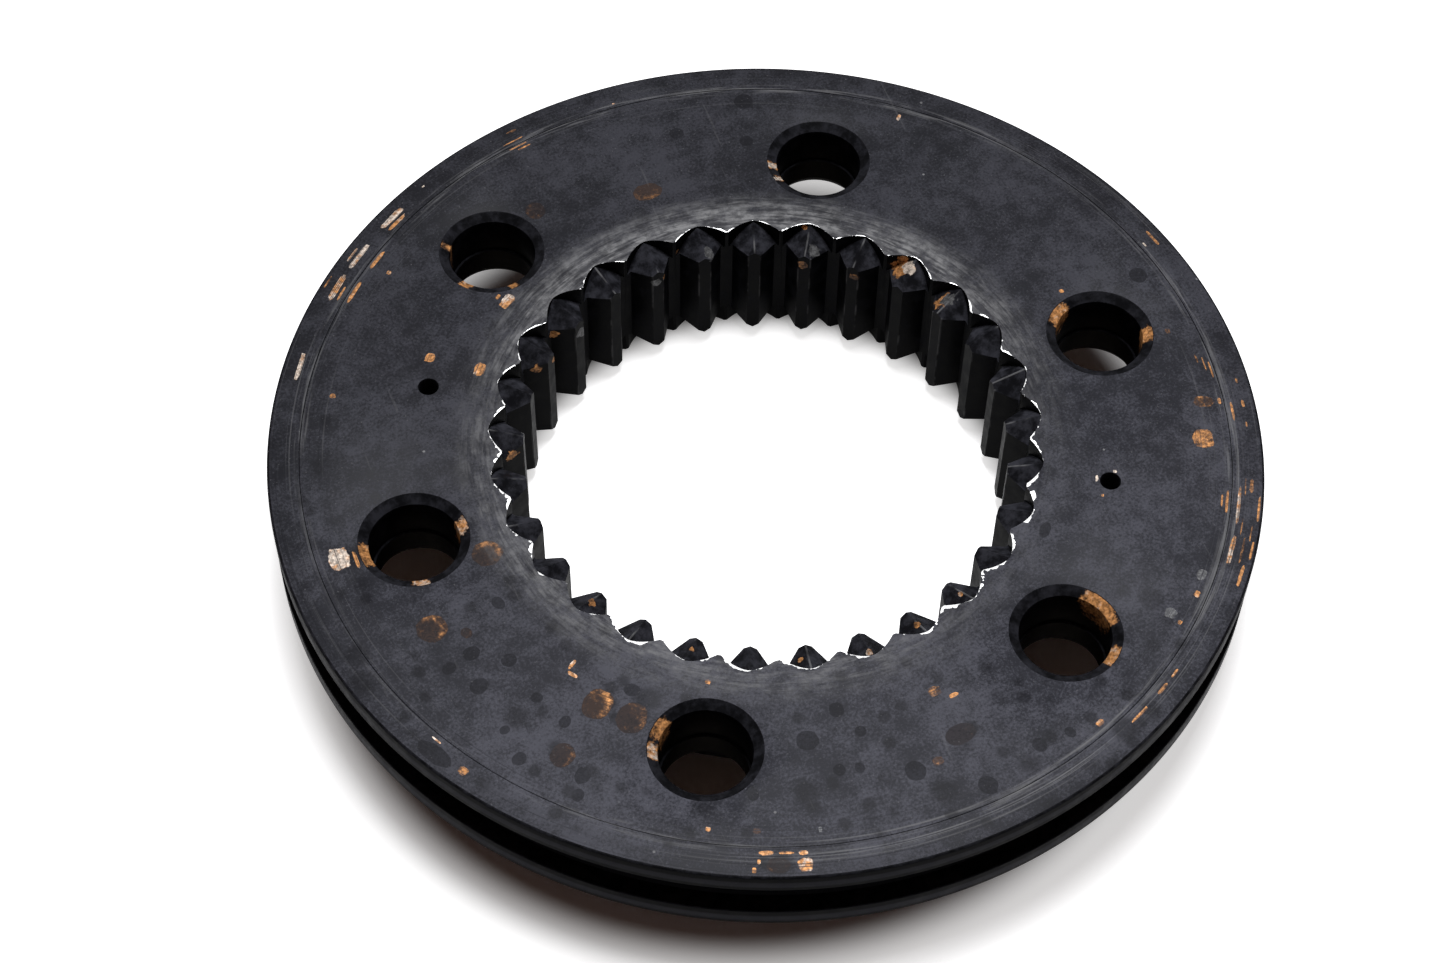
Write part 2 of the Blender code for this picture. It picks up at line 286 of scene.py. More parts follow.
# Chips on the flat faces: angle seen from the camera in degrees, inner and outer radius and width
# in millimetres, and tint from 0 (brown) to 1 (bare), or 2 for grey steel
CHIPS = (
    (-158.8, 87.0, 91.2, 5.6, 0.92),
    (-158.0, 85.6, 86.3, 4.6, 0.55),
    (-130.2, 94.5, 94.9, 2.4, 0.9),
    (-125.3, 95.6, 97.4, 2.0, 0.4),
    (-123.5, 65.0, 67.4, 0.8, 0.75),
    (-122.3, 67.6, 68.4, 2.2, 0.7),
    (-100.3, 59.0, 60.0, 1.2, 0.6),
    (-96.4, 90.1, 91.1, 1.0, 0.75),
    (-90.7, 89.6, 90.8, 1.6, 0.05),
    (-90.9, 97.7, 99.0, 0.8, 0.6),
    (-90.4, 96.0, 97.1, 0.7, 0.7),
    (-89.6, 94.25, 95.25, 2.8, 0.62),
    (-87.4, 94.4, 95.0, 3.0, 0.45),
    (-85.5, 94.35, 95.3, 1.7, 0.75),
    (-85.4, 95.9, 98.6, 2.9, 0.68),
    (-83.3, 89.6, 90.9, 0.7, 2.0),
    (-66.5, 80.6, 82.6, 2.2, 0.15),
    (-61.6, 66.8, 69.0, 2.6, 0.2),
    (-59.3, 69.8, 70.8, 2.0, 0.55),
    (-46.2, 90.8, 92.0, 1.8, 0.6),
    (-42.0, 95.2, 95.8, 5.0, 0.55),
    (-37.6, 95.1, 95.8, 3.4, 0.45),
    (-35.0, 95.2, 95.7, 2.6, 0.6),
    (-28.4, 90.6, 91.4, 1.0, 0.4),
    (-27.7, 87.4, 89.8, 2.4, 2.0),
    (-23.6, 90.9, 92.1, 1.6, 0.6),
    (-20.7, 90.0, 92.0, 2.6, 2.0),
    (-19.2, 97.8, 98.5, 5.4, 0.45),
    (-16.0, 94.6, 95.6, 8.0, 0.75),
    (-15.6, 96.9, 97.4, 7.0, 0.2),
    (-15.4, 98.7, 99.2, 5.0, 0.55),
    (-9.4, 94.7, 95.4, 10.2, 0.8),
    (-9.2, 92.4, 93.0, 6.2, 0.45),
    (-9.0, 91.5, 91.9, 3.4, 0.25),
    (-13.2, 98.0, 98.3, 4.0, 0.4),
    (-12.4, 96.0, 96.3, 4.6, 0.3),
    (-6.6, 96.0, 96.3, 5.0, 0.25),
    (-6.4, 97.0, 97.8, 3.4, 0.45),
    (-9.5, 98.8, 99.3, 7.0, 0.6),
    (-11.6, 68.0, 68.6, 0.7, 0.5),
    (-6.4, 69.8, 70.6, 0.7, 1.0),
    (-8.3, 66.4, 67.0, 1.6, 1.0),
    (0.5, 85.9, 90.3, 4.8, 0.38),
    (6.4, 87.2, 91.6, 2.8, 0.15),
    (6.3, 92.3, 93.0, 1.6, 0.55),
    (4.7, 94.6, 95.1, 5.0, 0.5),
    (2.6, 97.0, 97.4, 1.4, 0.3),
    (5.7, 97.0, 97.6, 1.8, 0.35),
    (9.2, 97.0, 97.5, 1.4, 0.3),
    (11.4, 92.6, 93.0, 4.6, 0.5),
    (12.4, 91.7, 92.0, 3.6, 0.35),
    (13.4, 90.5, 90.9, 2.4, 0.25),
    (18.7, 87.0, 88.0, 1.4, 0.1),
    (31.8, 71.8, 72.8, 1.0, 0.5),
    (32.7, 94.5, 94.9, 1.2, 1.0),
    (33.0, 96.9, 97.6, 4.8, 0.45),
    (71.7, 89.6, 91.4, 0.8, 0.9),
    (111.0, 94.5, 94.9, 0.7, 1.0),
    (125.6, 94.6, 94.9, 5.6, 0.5),
    (125.6, 92.8, 93.1, 5.0, 0.4),
    (125.0, 91.8, 92.2, 3.4, 0.3),
    (125.0, 97.0, 97.6, 2.6, 0.25),
    (139.2, 97.2, 97.6, 0.7, 1.0),
    (145.5, 95.9, 97.3, 8.0, 0.95),
    (145.8, 94.6, 95.5, 6.0, 0.7),
    (148.8, 62.0, 64.3, 4.2, 0.75),
    (148.8, 65.0, 65.8, 1.4, 0.35),
    (152.2, 92.1, 93.0, 5.4, 0.55),
    (152.7, 95.8, 97.0, 8.0, 0.9),
    (153.0, 97.6, 98.1, 5.0, 0.8),
    (153.3, 88.0, 89.0, 1.0, 0.7),
    (158.2, 92.1, 93.0, 6.4, 0.6),
    (158.4, 95.7, 97.1, 7.6, 0.8),
    (159.0, 94.6, 95.1, 4.4, 0.5),
    (158.0, 98.6, 99.0, 4.0, 0.3),
    (165.7, 70.0, 72.2, 2.6, 0.55),
    (165.8, 59.2, 61.6, 3.6, 0.55),
    (171.2, 95.9, 96.9, 7.8, 0.9),
    (175.2, 87.6, 88.8, 1.2, 0.5),
)

# Dried oil spots: angle seen from the camera in degrees, radius, half width along the turn and half
# height along the radius in millimetres, side of the golden edge in degrees (0 along the turn, 90
# outwards) and how golden that edge is, from 0 to 1
STAINS = (
    (-150.9, 62.1, 3.1, 3.2, 230.0, 0.8),
    (-143.2, 79.7, 3.2, 3.1, 260.0, 0.9),
    (-141.0, 66.2, 1.6, 1.2, 0.0, 0.0),
    (-139.6, 75.0, 1.3, 1.1, 0.0, 0.4),
    (-136.6, 82.4, 1.3, 1.5, 0.0, 0.0),
    (-136.4, 77.2, 1.6, 1.8, 0.0, 0.0),
    (-131.8, 81.0, 1.7, 2.0, 0.0, 0.0),
    (-131.7, 73.0, 1.5, 1.6, 0.0, 0.0),
    (-129.2, 97.1, 4.2, 1.8, 0.0, 0.0),
    (-124.8, 85.1, 0.9, 1.1, 0.0, 0.0),
    (-124.4, 76.0, 1.2, 1.2, 0.0, 0.0),
    (-120.9, 88.6, 1.3, 1.5, 0.0, 0.0),
    (-118.8, 77.5, 1.1, 1.4, 0.0, 0.0),
    (-116.5, 83.9, 2.4, 2.6, -20.0, 0.45),
    (-116.2, 71.2, 2.9, 3.4, -50.0, 1.0),
    (-112.9, 86.0, 1.5, 2.0, 0.0, 0.0),
    (-112.3, 90.2, 1.2, 1.4, 0.0, 0.0),
    (-112.4, 65.6, 1.7, 1.4, 0.0, 0.0),
    (-110.4, 71.3, 3.0, 3.4, -30.0, 0.6),
    (-91.3, 82.7, 1.1, 1.4, 0.0, 0.0),
    (-88.3, 97.25, 2.4, 1.65, 180.0, 0.35),
    (-83.4, 71.4, 2.2, 2.2, 0.0, 0.0),
    (-79.6, 78.4, 1.2, 1.4, 0.0, 0.0),
    (-78.0, 65.6, 1.5, 1.7, 0.0, 0.0),
    (-76.8, 78.6, 1.0, 1.2, 0.0, 0.0),
    (-75.2, 71.1, 1.2, 1.2, 0.0, 0.0),
    (-69.8, 82.0, 2.0, 2.2, 0.0, 0.0),
    (-61.8, 78.2, 3.2, 2.2, 0.0, 0.1),
    (-62.4, 90.0, 1.9, 2.1, 0.0, 0.0),
    (-53.9, 87.8, 1.4, 1.6, 0.0, 0.0),
    (-49.8, 89.2, 1.0, 1.2, 0.0, 0.0),
    (-22.0, 59.4, 2.0, 1.1, 0.0, 0.0),
    (28.8, 88.8, 2.0, 1.9, 0.0, 0.0),
    (93.5, 90.0, 2.2, 2.2, 0.0, 0.0),
    (93.5, 78.4, 1.5, 1.5, 0.0, 0.0),
    (104.0, 82.5, 1.6, 1.6, 0.0, 0.0),
    (112.2, 68.3, 3.2, 2.3, 270.0, 0.7),
    (130.7, 75.8, 2.2, 2.4, 0.0, 0.4),
)

# Chips on the bolt holes' chamfers: hole angle seen from the camera, chip's angle about the hole's
# own centre and half its spread in degrees, and tint
MOUTH_CHIPS = (
    (-158.43, -158.0, 16.0, 0.5),
    (-158.43, 22.0, 10.0, 0.75),
    (-158.43, -78.0, 9.0, 0.75),
    (-98.43, 152.0, 14.0, 0.42),
    (-98.43, 183.0, 9.0, 0.75),
    (-38.43, 42.0, 24.0, 0.52),
    (-38.43, -28.0, 13.0, 0.65),
    (21.57, 148.0, 16.0, 0.55),
    (21.57, 2.0, 11.0, 0.48),
    (81.57, 188.0, 5.0, 0.95),
    (81.57, 210.0, 4.0, 0.95),
    (141.57, -120.0, 8.0, 0.6),
    (141.57, -60.0, 6.0, 0.5),
    (141.57, 170.0, 6.0, 0.35),
)

# Marks on the tooth ends: angle seen from the camera in degrees, radius, depth below the top face
# and reach in millimetres, and tint from 0 (brown) to 1 (bare), or 2 for grey steel
TOOTH_MARKS = (
    (57.8, 53.5, 2.2, 2.7, 0.45),
    (56.2, 54.0, 1.6, 1.4, 1.00),
    (45.4, 52.2, 2.6, 2.3, 0.50),
    (43.9, 52.9, 1.9, 1.5, 2.0),
    (147.3, 52.8, 5.4, 1.2, 0.45),
    (142.0, 49.0, 6.7, 1.5, 2.0),
    (153.7, 49.0, 5.0, 1.0, 0.60),
    (158.3, 51.1, 5.2, 1.2, 0.30),
    (-176.5, 51.5, 5.4, 1.5, 0.50),
    (178.7, 49.0, 3.9, 1.0, 2.0),
    (78.8, 51.0, 3.1, 1.7, 2.0),
    (81.8, 55.6, 1.0, 0.6, 0.50),
    (80.7, 49.0, 5.4, 1.3, 0.10),
    (67.8, 49.0, 5.5, 1.2, 0.10),
    (104.2, 50.3, 2.9, 1.5, 2.0),
    (116.2, 49.3, 5.2, 1.0, 0.45),
    (118.3, 49.0, 5.6, 1.5, 2.0),
    (110.9, 53.5, 3.8, 0.8, 0.25),
    (-129.8, 52.2, 1.8, 1.1, 0.40),
    (-82.2, 52.3, 2.4, 0.7, 0.60),
    (-68.3, 54.3, 0.9, 0.9, 0.80),
    (-105.4, 52.2, 1.6, 0.6, 0.50),
    (-43.9, 52.8, 1.6, 0.5, 0.60),
    (-56.1, 52.8, 1.5, 0.8, 0.30),
)

# Wear painted on the meshes: how bare a chip is, its tint, and dried oil
WEAR_LAYERS = ("bare", "tint", "stain")

# Chips: raggedness, how round the outline is (1 is an ellipse), and loops as share of the size and bareness
CHIP_RAGGED = 0.1
CHIP_ROUNDNESS = 0.7
CHIP_RINGS = ((1.1, 0.0), (0.8, 1.0))

# Oil spots: raggedness, tint and least share of the golden edge, and loops as share of the size, stain
# and share of the golden edge
STAIN_RAGGED = 0.06
STAIN_TINT = 0.31
STAIN_LEAST_EDGE = 0.15
STAIN_RINGS = ((1.06, 0.0, 0.0), (0.92, 1.0, 0.8), (0.74, 1.0, 1.0), (0.4, 1.0, 0.3))

# Seeds of the ragged outlines: chips, then oil spots
INNER_SEEDS = (3, 7)
OUTER_SEEDS = (5, 9)

# Points closer than this, in metres, are one point; edges sharper than this, in degrees, stay sharp
WELD = 1e-7
SMOOTH_ANGLE = 28.0
BALL_SMOOTH_ANGLE = 60.0


def ring_angle(degrees):
    """An angle seen from the camera, turned into the ring's own frame."""
    return math.radians(degrees) - VIEW_TURN


def polar(radius, angle, height):
    """A point by its radius, angle and height."""
    return Vector((radius * math.cos(angle), radius * math.sin(angle), height))


def circle(bm, radius, height, steps, centre=(0.0, 0.0)):
    """A loop of vertices round an upright axis."""
    offset = Vector((centre[0], centre[1], 0.0))
    return [bm.verts.new(offset + polar(radius, 2 * math.pi * i / steps, height)) for i in range(steps)]


def bridge(bm, upper, lower):
    """A strip of faces between two loops of the same length."""
    for i, vert in enumerate(upper):
        bm.faces.new((upper[i - 1], vert, lower[i], lower[i - 1]))


def turned(bm, profile, steps, centre=(0.0, 0.0)):
    """Faces turned from a list of (radius, height) points; returns the first and last loops."""
    loops = [circle(bm, radius, height, steps, centre) for radius, height in profile]
    for upper, lower in zip(loops, loops[1:]):
        bridge(bm, upper, lower)
    return loops[0], loops[-1]


def arc(centre, radius, start, end, steps):
    """Points of an arc in the (radius, height) plane, between two angles in degrees."""
    points = []
    for i in range(steps + 1):
        angle = math.radians(start + (end - start) * i / steps)
        points.append((centre[0] + radius * math.cos(angle), centre[1] + radius * math.sin(angle)))
    return points


def in_circle(point, centre, radius):
    """True where a flat point lies inside a circle."""
    return math.hypot(point[0] - centre[0], point[1] - centre[1]) < radius


def polygon_reach(radius, steps):
    """How far a polygon reaches on all sides when its corners lie on a circle."""
    return radius * math.cos(math.pi / steps)


def flat_face(bm, height, outer, inner, holes, marks):
    """Fills a flat ring between two loops, leaving holes open, and paints the marks on it.

    holes is a list of (loop, centre, radius). marks is a list of loops of (point, wear), where wear
    holds a value for each of WEAR_LAYERS.
    """
    points = []
    verts = []
    edges = []

    def add_loop(loop_points, loop_verts):
        first = len(points)
        count = len(loop_points)
        points.extend(Vector(point[:2]) for point in loop_points)
        verts.extend(loop_verts)
        edges.extend((first + i, first + (i + 1) % count) for i in range(count))

    for loop in [outer, inner] + [hole[0] for hole in holes]:
        add_loop([vert.co for vert in loop], loop)
    painted = {}
    for loop in marks:
        for i, (point, wear) in enumerate(loop):
            painted[len(points) + i] = wear
        add_loop([point for point, wear in loop], [None] * len(loop))
    places, _, faces, origins, _, _ = geometry.delaunay_2d_cdt(points, edges, [], 0, WELD)
    layers = [bm.verts.layers.float[name] for name in WEAR_LAYERS]
    corners = []
    for place, sources in zip(places, origins):
        known = [verts[i] for i in sources if verts[i]]
        corner = known[0] if known else bm.verts.new((place.x, place.y, height))
        for i in sources:
            for layer, value in zip(layers, painted.get(i, ())):
                corner[layer] = value
        corners.append(corner)
    outside = outer[0].co.xy.length
    inside = polygon_reach(inner[0].co.xy.length, len(inner))
    openings = [(centre, polygon_reach(radius, len(loop))) for loop, centre, radius in holes]
    for face in faces:
        middle = sum((places[i] for i in face), Vector((0.0, 0.0))) / len(face)
        hollow = any(in_circle(middle, centre, radius) for centre, radius in openings)
        if not hollow and inside < middle.length < outside:
            bm.faces.new([corners[i] for i in face])


def squared(value, power):
    """A value from -1 to 1, pushed towards the ends."""
    return math.copysign(abs(value) ** power, value)


def oval(degrees, radius, half_width, half_height, ragged, share, power):
    """Points of a ragged oval on the top face, with their turns round it; share scales it."""
    angle = ring_angle(degrees)
    centre = polar(radius * MM, angle, 0.0)
    outwards = polar(1.0, angle, 0.0)
    sideways = Vector((-outwards.y, outwards.x, 0.0))
    points = []
    for i, reach in enumerate(ragged):
        turn = 2 * math.pi * i / len(ragged)
        step = sideways * squared(math.cos(turn), power) * half_width * MM
        step += outwards * squared(math.sin(turn), power) * half_height * MM
        points.append((centre + step * share * reach, turn))
    return points


def chip_loops(low, high, seed):
    """Loops of wear for the chips whose middle lies between two radii."""
    draw = random.Random(seed)
    loops = []
    for degrees, start, end, width, tint in CHIPS:
        radius = (start + end) / 2
        if not low < radius * MM < high:
            continue
        ragged = [draw.uniform(1 - CHIP_RAGGED, 1 + CHIP_RAGGED) for i in range(MARK_STEPS)]
        for share, bare in CHIP_RINGS:
            outline = oval(degrees, radius, width / 2, (end - start) / 2, ragged, share, CHIP_ROUNDNESS)
            loops.append([(point, (bare, tint, 0.0)) for point, turn in outline])
    return loops


def stain_loops(low, high, seed):
    """Loops of wear for the dried oil spots whose middle lies between two radii."""
    draw = random.Random(seed)
    loops = []
    for degrees, radius, half_width, half_height, side, gold in STAINS:
        if not low < radius * MM < high:
            continue
        ragged = [draw.uniform(1 - STAIN_RAGGED, 1 + STAIN_RAGGED) for i in range(MARK_STEPS)]
        tint = STAIN_TINT * (0.4 + 0.6 * gold) if gold else 0.0
        for share, stain, edge in STAIN_RINGS:
            loop = []
            for point, turn in oval(degrees, radius, half_width, half_height, ragged, share, 1.0):
                facing = max(STAIN_LEAST_EDGE, 0.5 + 0.6 * math.cos(turn - math.radians(side)))
                loop.append((point, (facing * gold * edge, tint, stain)))
            loops.append(loop)
    return loops


def face_marks(low, high, seeds):
    """Loops of wear for all chips and oil spots between two radii."""
    return chip_loops(low, high, seeds[0]) + stain_loops(low, high, seeds[1])


def new_bmesh():
    """A bmesh with the wear layers that the black finish reads."""
    bm = bmesh.new()
    for name in WEAR_LAYERS:
        bm.verts.layers.float.new(name)
    return bm


def new_object(bm, name):
    """An object in the scene, from a bmesh."""
    bmesh.ops.recalc_face_normals(bm, faces=bm.faces)
    mesh = bpy.data.meshes.new(name)
    bm.to_mesh(mesh)
    bm.free()
    item = bpy.data.objects.new(name, mesh)
    bpy.context.scene.collection.objects.link(item)
    return item


def finish_piece(bm, name, body, materials, nodes, smooth_angle=SMOOTH_ANGLE):
    """Turns a bmesh into a piece that rides on a body and stands for CAD nodes."""
    bmesh.ops.remove_doubles(bm, verts=bm.verts, dist=WELD)
    piece = new_object(bm, name)
    for material in materials:
        piece.data.materials.append(material)
    piece.data.shade_smooth()
    piece.data.set_sharp_from_angle(angle=math.radians(smooth_angle))
    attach(piece, body)
    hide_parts(*nodes)


def cut(body, cutter):
    """Takes the cutter's volume out of the body and removes the cutter."""
    difference = body.modifiers.new("cut", "BOOLEAN")
    difference.operation = "DIFFERENCE"
    difference.solver = "EXACT"
    difference.object = cutter
    graph = bpy.context.evaluated_depsgraph_get()
    result = bpy.data.meshes.new_from_object(body.evaluated_get(graph))
    body.modifiers.clear()
    body.data = result
    bpy.data.objects.remove(cutter, do_unlink=True)


# Toothed sleeve: the bore of the inner ring, cut from a plain tube
TOOTH_PITCH = 2 * math.pi / TOOTH_COUNT
TOOTH_TURN = math.radians(-2.95)
SLEEVE_RADIUS = 57.0 * MM
CORE_RADIUS = 45.0 * MM
CUT_MARGIN = 1.0 * MM
FLANK_BULGE = math.radians(0.14)
LOBE_CURVE = 1.6
LOBE_OVERCUT = 0.3 * MM
RIDGE_DROP = 0.35 * MM
RIDGE_SLOPE = 0.31
ROOF_SLOPE = 0.7
BURR_WIDTH = 0.30 * MM
WALL_MARGIN = 0.1 * MM
END_MARGIN = 1e-6
SLEEVE_WELD = 2e-6
SHARP_ANGLE = math.radians(25)


def lobe_depth(sizes):
    """Depth of the lobed edge, from its crowns to the dips between the teeth."""
    return sizes.lobe_radius - sizes.root_radius + LOBE_OVERCUT


def lobe_edge(sizes, spread):
    """Radius of the lobed edge at an angle from a tooth's middle."""
    share = abs(spread) / (TOOTH_PITCH / 2)
    return sizes.lobe_radius - lobe_depth(sizes) * share**LOBE_CURVE


def tooth_spread(angle):
    """Angle from the middle of the nearest tooth."""
    turn = (angle - TOOTH_TURN) / TOOTH_PITCH
    return (turn - round(turn)) * TOOTH_PITCH


def roof_height(sizes, radius, spread):
    """Height of the roof on a tooth's upper end."""
    ridge = INNER_BOX[1][2] - RIDGE_DROP - RIDGE_SLOPE * (sizes.lobe_radius - radius)
    return ridge - ROOF_SLOPE * radius * math.sin(abs(spread))


def tooth_gap_cutter(sizes):
    """A prism with the bore's toothed outline."""
    tip_half = math.asin(sizes.tip_width / 2 / sizes.tip_radius)
    root_half = TOOTH_PITCH / 2 - math.asin(sizes.gap_width / 2 / sizes.root_radius)
    middle_radius = (sizes.tip_radius + sizes.root_radius) / 2
    middle_half = (tip_half + root_half) / 2 + FLANK_BULGE
    flank = ((sizes.root_radius, root_half), (middle_radius, middle_half), (sizes.tip_radius, tip_half))
    bm = bmesh.new()
    outline = []
    for tooth in range(TOOTH_COUNT):
        middle = TOOTH_TURN + tooth * TOOTH_PITCH
        outline += [polar(radius, middle - half, -CUT_MARGIN) for radius, half in flank]
        outline += [polar(radius, middle + half, -CUT_MARGIN) for radius, half in reversed(flank)]
    face = bm.faces.new([bm.verts.new(point) for point in outline])
    grown = bmesh.ops.extrude_face_region(bm, geom=[face])
    top = [item for item in grown["geom"] if isinstance(item, bmesh.types.BMVert)]
    bmesh.ops.translate(bm, verts=top, vec=(0, 0, INNER_BOX[1][2] + 2 * CUT_MARGIN))
    return new_object(bm, "tooth_gaps")


def crown_cutter(sizes, upside_down):
    """A plug with a lobed wall and a gable roof over each tooth."""
    top = INNER_BOX[1][2]
    bm = bmesh.new()
    rows = ([], [], [])
    for i in range(TOOTH_COUNT * LOBE_STEPS):
        angle = TOOTH_TURN + i * TOOTH_PITCH / LOBE_STEPS
        spread = tooth_spread(angle)
        radius = lobe_edge(sizes, spread)
        rows[0].append(bm.verts.new(polar(radius, angle, top + CUT_MARGIN)))
        rows[1].append(bm.verts.new(polar(radius, angle, roof_height(sizes, radius, spread))))
        rows[2].append(bm.verts.new(polar(CORE_RADIUS, angle, roof_height(sizes, CORE_RADIUS, spread))))
    bridge(bm, rows[0], rows[1])
    bridge(bm, rows[1], rows[2])
    bm.faces.new(rows[0])
    bmesh.ops.poke(bm, faces=[bm.faces.new(rows[2])])
    bmesh.ops.triangulate(bm, faces=bm.faces)
    if upside_down:
        flip = Matrix.Translation((0, 0, top)) @ Matrix.Scale(-1, 4, (0, 0, 1))
        bmesh.ops.transform(bm, matrix=flip, verts=bm.verts)
    return new_object(bm, "crown")


def toothed_sleeve(sizes):
    """The inner ring's bore with its teeth, open at the sleeve radius, as a mesh."""
    top = INNER_BOX[1][2]
    bm = bmesh.new()
    first, last = turned(
        bm,
        [(CORE_RADIUS, top), (SLEEVE_RADIUS, top), (SLEEVE_RADIUS, 0.0), (CORE_RADIUS, 0.0)],
        RING_STEPS,
    )
    bridge(bm, last, first)
    sleeve = new_object(bm, "sleeve")
    cut(sleeve, tooth_gap_cutter(sizes))
    cut(sleeve, crown_cutter(sizes, False))
    cut(sleeve, crown_cutter(sizes, True))
    mesh = sleeve.data
    bpy.data.objects.remove(sleeve, do_unlink=True)
    return mesh


def add_sleeve(bm, sizes):
    """Puts the toothed sleeve into the inner ring, with bevelled lobe edges."""
    top = INNER_BOX[1][2]
    inside = SLEEVE_RADIUS - WALL_MARGIN
    part = new_bmesh()
    part.from_mesh(toothed_sleeve(sizes))
    bmesh.ops.remove_doubles(part, verts=part.verts, dist=SLEEVE_WELD)
    wall = [face for face in part.faces if all(vert.co.xy.length > inside for vert in face.verts)]
    bmesh.ops.delete(part, geom=wall, context="FACES")

    def on_lobes(edge):
        at_end = all(vert.co.z > top - END_MARGIN or vert.co.z < END_MARGIN for vert in edge.verts)
        in_bore = any(vert.co.xy.length < inside for vert in edge.verts)
        return at_end and in_bore and len(edge.link_faces) == 2 and edge.calc_face_angle() > SHARP_ANGLE

    bmesh.ops.bevel(
        part,
        geom=[edge for edge in part.edges if on_lobes(edge)],
        offset=BURR_WIDTH,
        offset_type="OFFSET",
        segments=2,
        profile=0.5,
        affect="EDGES",
        clamp_overlap=True,
    )
    for face in part.faces:
        face.material_index = int(min(vert.co.z for vert in face.verts) < top - BURR_WIDTH - END_MARGIN)
    mesh = bpy.data.meshes.new("sleeve_part")
    part.to_mesh(mesh)
    part.free()
    bm.from_mesh(mesh)
    bpy.data.meshes.remove(mesh)


# Turned parts of the rings; FIT_GAP is the clearance between the CAD's pieces
EDGE_BREAK = 0.18 * MM
RIM_EDGE_BREAK = 0.5 * MM
FOOT_EDGE_BREAK = 2.5 * EDGE_BREAK
FIT_GAP = 0.3 * MM
LIP_THICKNESS = 2.5 * MM
LAND_GAP = 2.0 * MM
RACE_GAP = 0.35 * MM
SEAM_HALF = 0.02 * MM
SEAM_RADIUS = INNER_BOX[1][0] + FIT_GAP / 2
DISC_BOTTOM = OUTER_BOX[0][2]
DISC_TOP = OUTER_BOX[1][2]
ROW_HEIGHT = (DISC_BOTTOM + DISC_TOP) / 2
RIM_RADIUS = OUTER_BOX[1][0]
HUB_FILLET = 1.0 * MM
LEDGE_DEPTH = 10.0 * MM
MOUTH_DEPTH = 1.2 * MM
FOOT_DEPTH = 2.5 * MM
FOOT_WIDTH = 1.5 * MM
BOLT_COUNT = 6
DOWEL_ANGLES = (math.radians(-30), math.radians(150))

# Faces that point up or down by at least this much count as flat
FLAT_LEAST = 0.8

# Chips on a chamfer: taper past their spread, depth as a share of the chamfer's, and how close in radians
# a row's hole angle has to be
MOUTH_TAPER = 1.3
MOUTH_CHIP_DEPTH = 1.5
SAME_HOLE = 0.1


def race_profile(sizes, side):
    """Points of a ball race from its upper land to its lower one."""
    radius = sizes.ball_radius + RACE_GAP
    half = math.degrees(math.acos(LAND_GAP / 2 / radius))
    centre = (sizes.pitch_radius, ROW_HEIGHT)
    if side > 0:
        return arc(centre, radius, half, -half, RACE_STEPS)
    return arc(centre, radius, 180 - half, 180 + half, RACE_STEPS)


def chip_mouth(bm, verts, centre, angle):
    """Paints the chips on one bolt hole's chamfer."""
    bare = bm.verts.layers.float["bare"]
    tint = bm.verts.layers.float["tint"]
    chips = []
    for hole_angle, *chip in MOUTH_CHIPS:
        if abs(math.remainder(ring_angle(hole_angle) - angle, 2 * math.pi)) < SAME_HOLE:
            chips.append(chip)
    for vert in verts:
        depth = (DISC_TOP - vert.co.z) / MOUTH_DEPTH
        offset = vert.co - centre
        turn = math.degrees(math.atan2(offset.y, offset.x) + VIEW_TURN)
        for chip_angle, spread, shade in chips:
            closeness = 1 - abs(math.remainder(turn - chip_angle, 360)) / (MOUTH_TAPER * spread)
            if closeness > 0 and 0.0 < depth < MOUTH_CHIP_DEPTH:
                vert[bare] = 1.1 * math.sqrt(closeness) * (0.7 + 0.4 * depth)
                vert[tint] = shade


def bolt_hole(bm, sizes, angle):
    """One stepped, chamfered bolt hole; returns its loops on the two faces."""
    centre = polar(sizes.bolt_circle, angle, 0.0)
    ledge = DISC_TOP - LEDGE_DEPTH
    soft = EDGE_BREAK / 2
    profile = [
        (sizes.mouth_radius + soft, DISC_TOP),
        (sizes.mouth_radius - soft, DISC_TOP - soft),
        ((sizes.mouth_radius + sizes.bolt_bore) / 2, DISC_TOP - MOUTH_DEPTH / 2),
        (sizes.bolt_bore + soft, DISC_TOP - MOUTH_DEPTH + soft),
        (sizes.bolt_bore, DISC_TOP - MOUTH_DEPTH - soft),
        (sizes.bolt_bore, ledge),
        (sizes.bolt_lower + soft, ledge),
        (sizes.bolt_lower, ledge - soft),
        (sizes.bolt_lower, DISC_BOTTOM + FOOT_DEPTH),
        (sizes.bolt_lower + FOOT_WIDTH, DISC_BOTTOM),
    ]
    before = len(bm.verts)
    upper, lower = turned(bm, profile, MOUTH_STEPS, centre)
    bm.verts.ensure_lookup_table()
    wall = bm.verts[before:]
    for vert in wall:
        for face in vert.link_faces:
            face.material_index = 1
    chip_mouth(bm, wall, centre, angle)
    return upper, lower


def dowel_hole(bm, sizes, angle):
    """One small hole; returns its loops on the two faces."""
    centre = polar(sizes.dowel_circle, angle, 0.0)
    soft = EDGE_BREAK / 2
    profile = [
        (sizes.dowel_radius + soft, DISC_TOP),
        (sizes.dowel_radius, DISC_TOP - soft),
        (sizes.dowel_radius, DISC_BOTTOM + soft),
        (sizes.dowel_radius + soft, DISC_BOTTOM),
    ]
    upper, lower = turned(bm, profile, SMALL_STEPS, centre)
    for vert in upper + lower:
        for face in vert.link_faces:
            face.material_index = 1
    return upper, lower


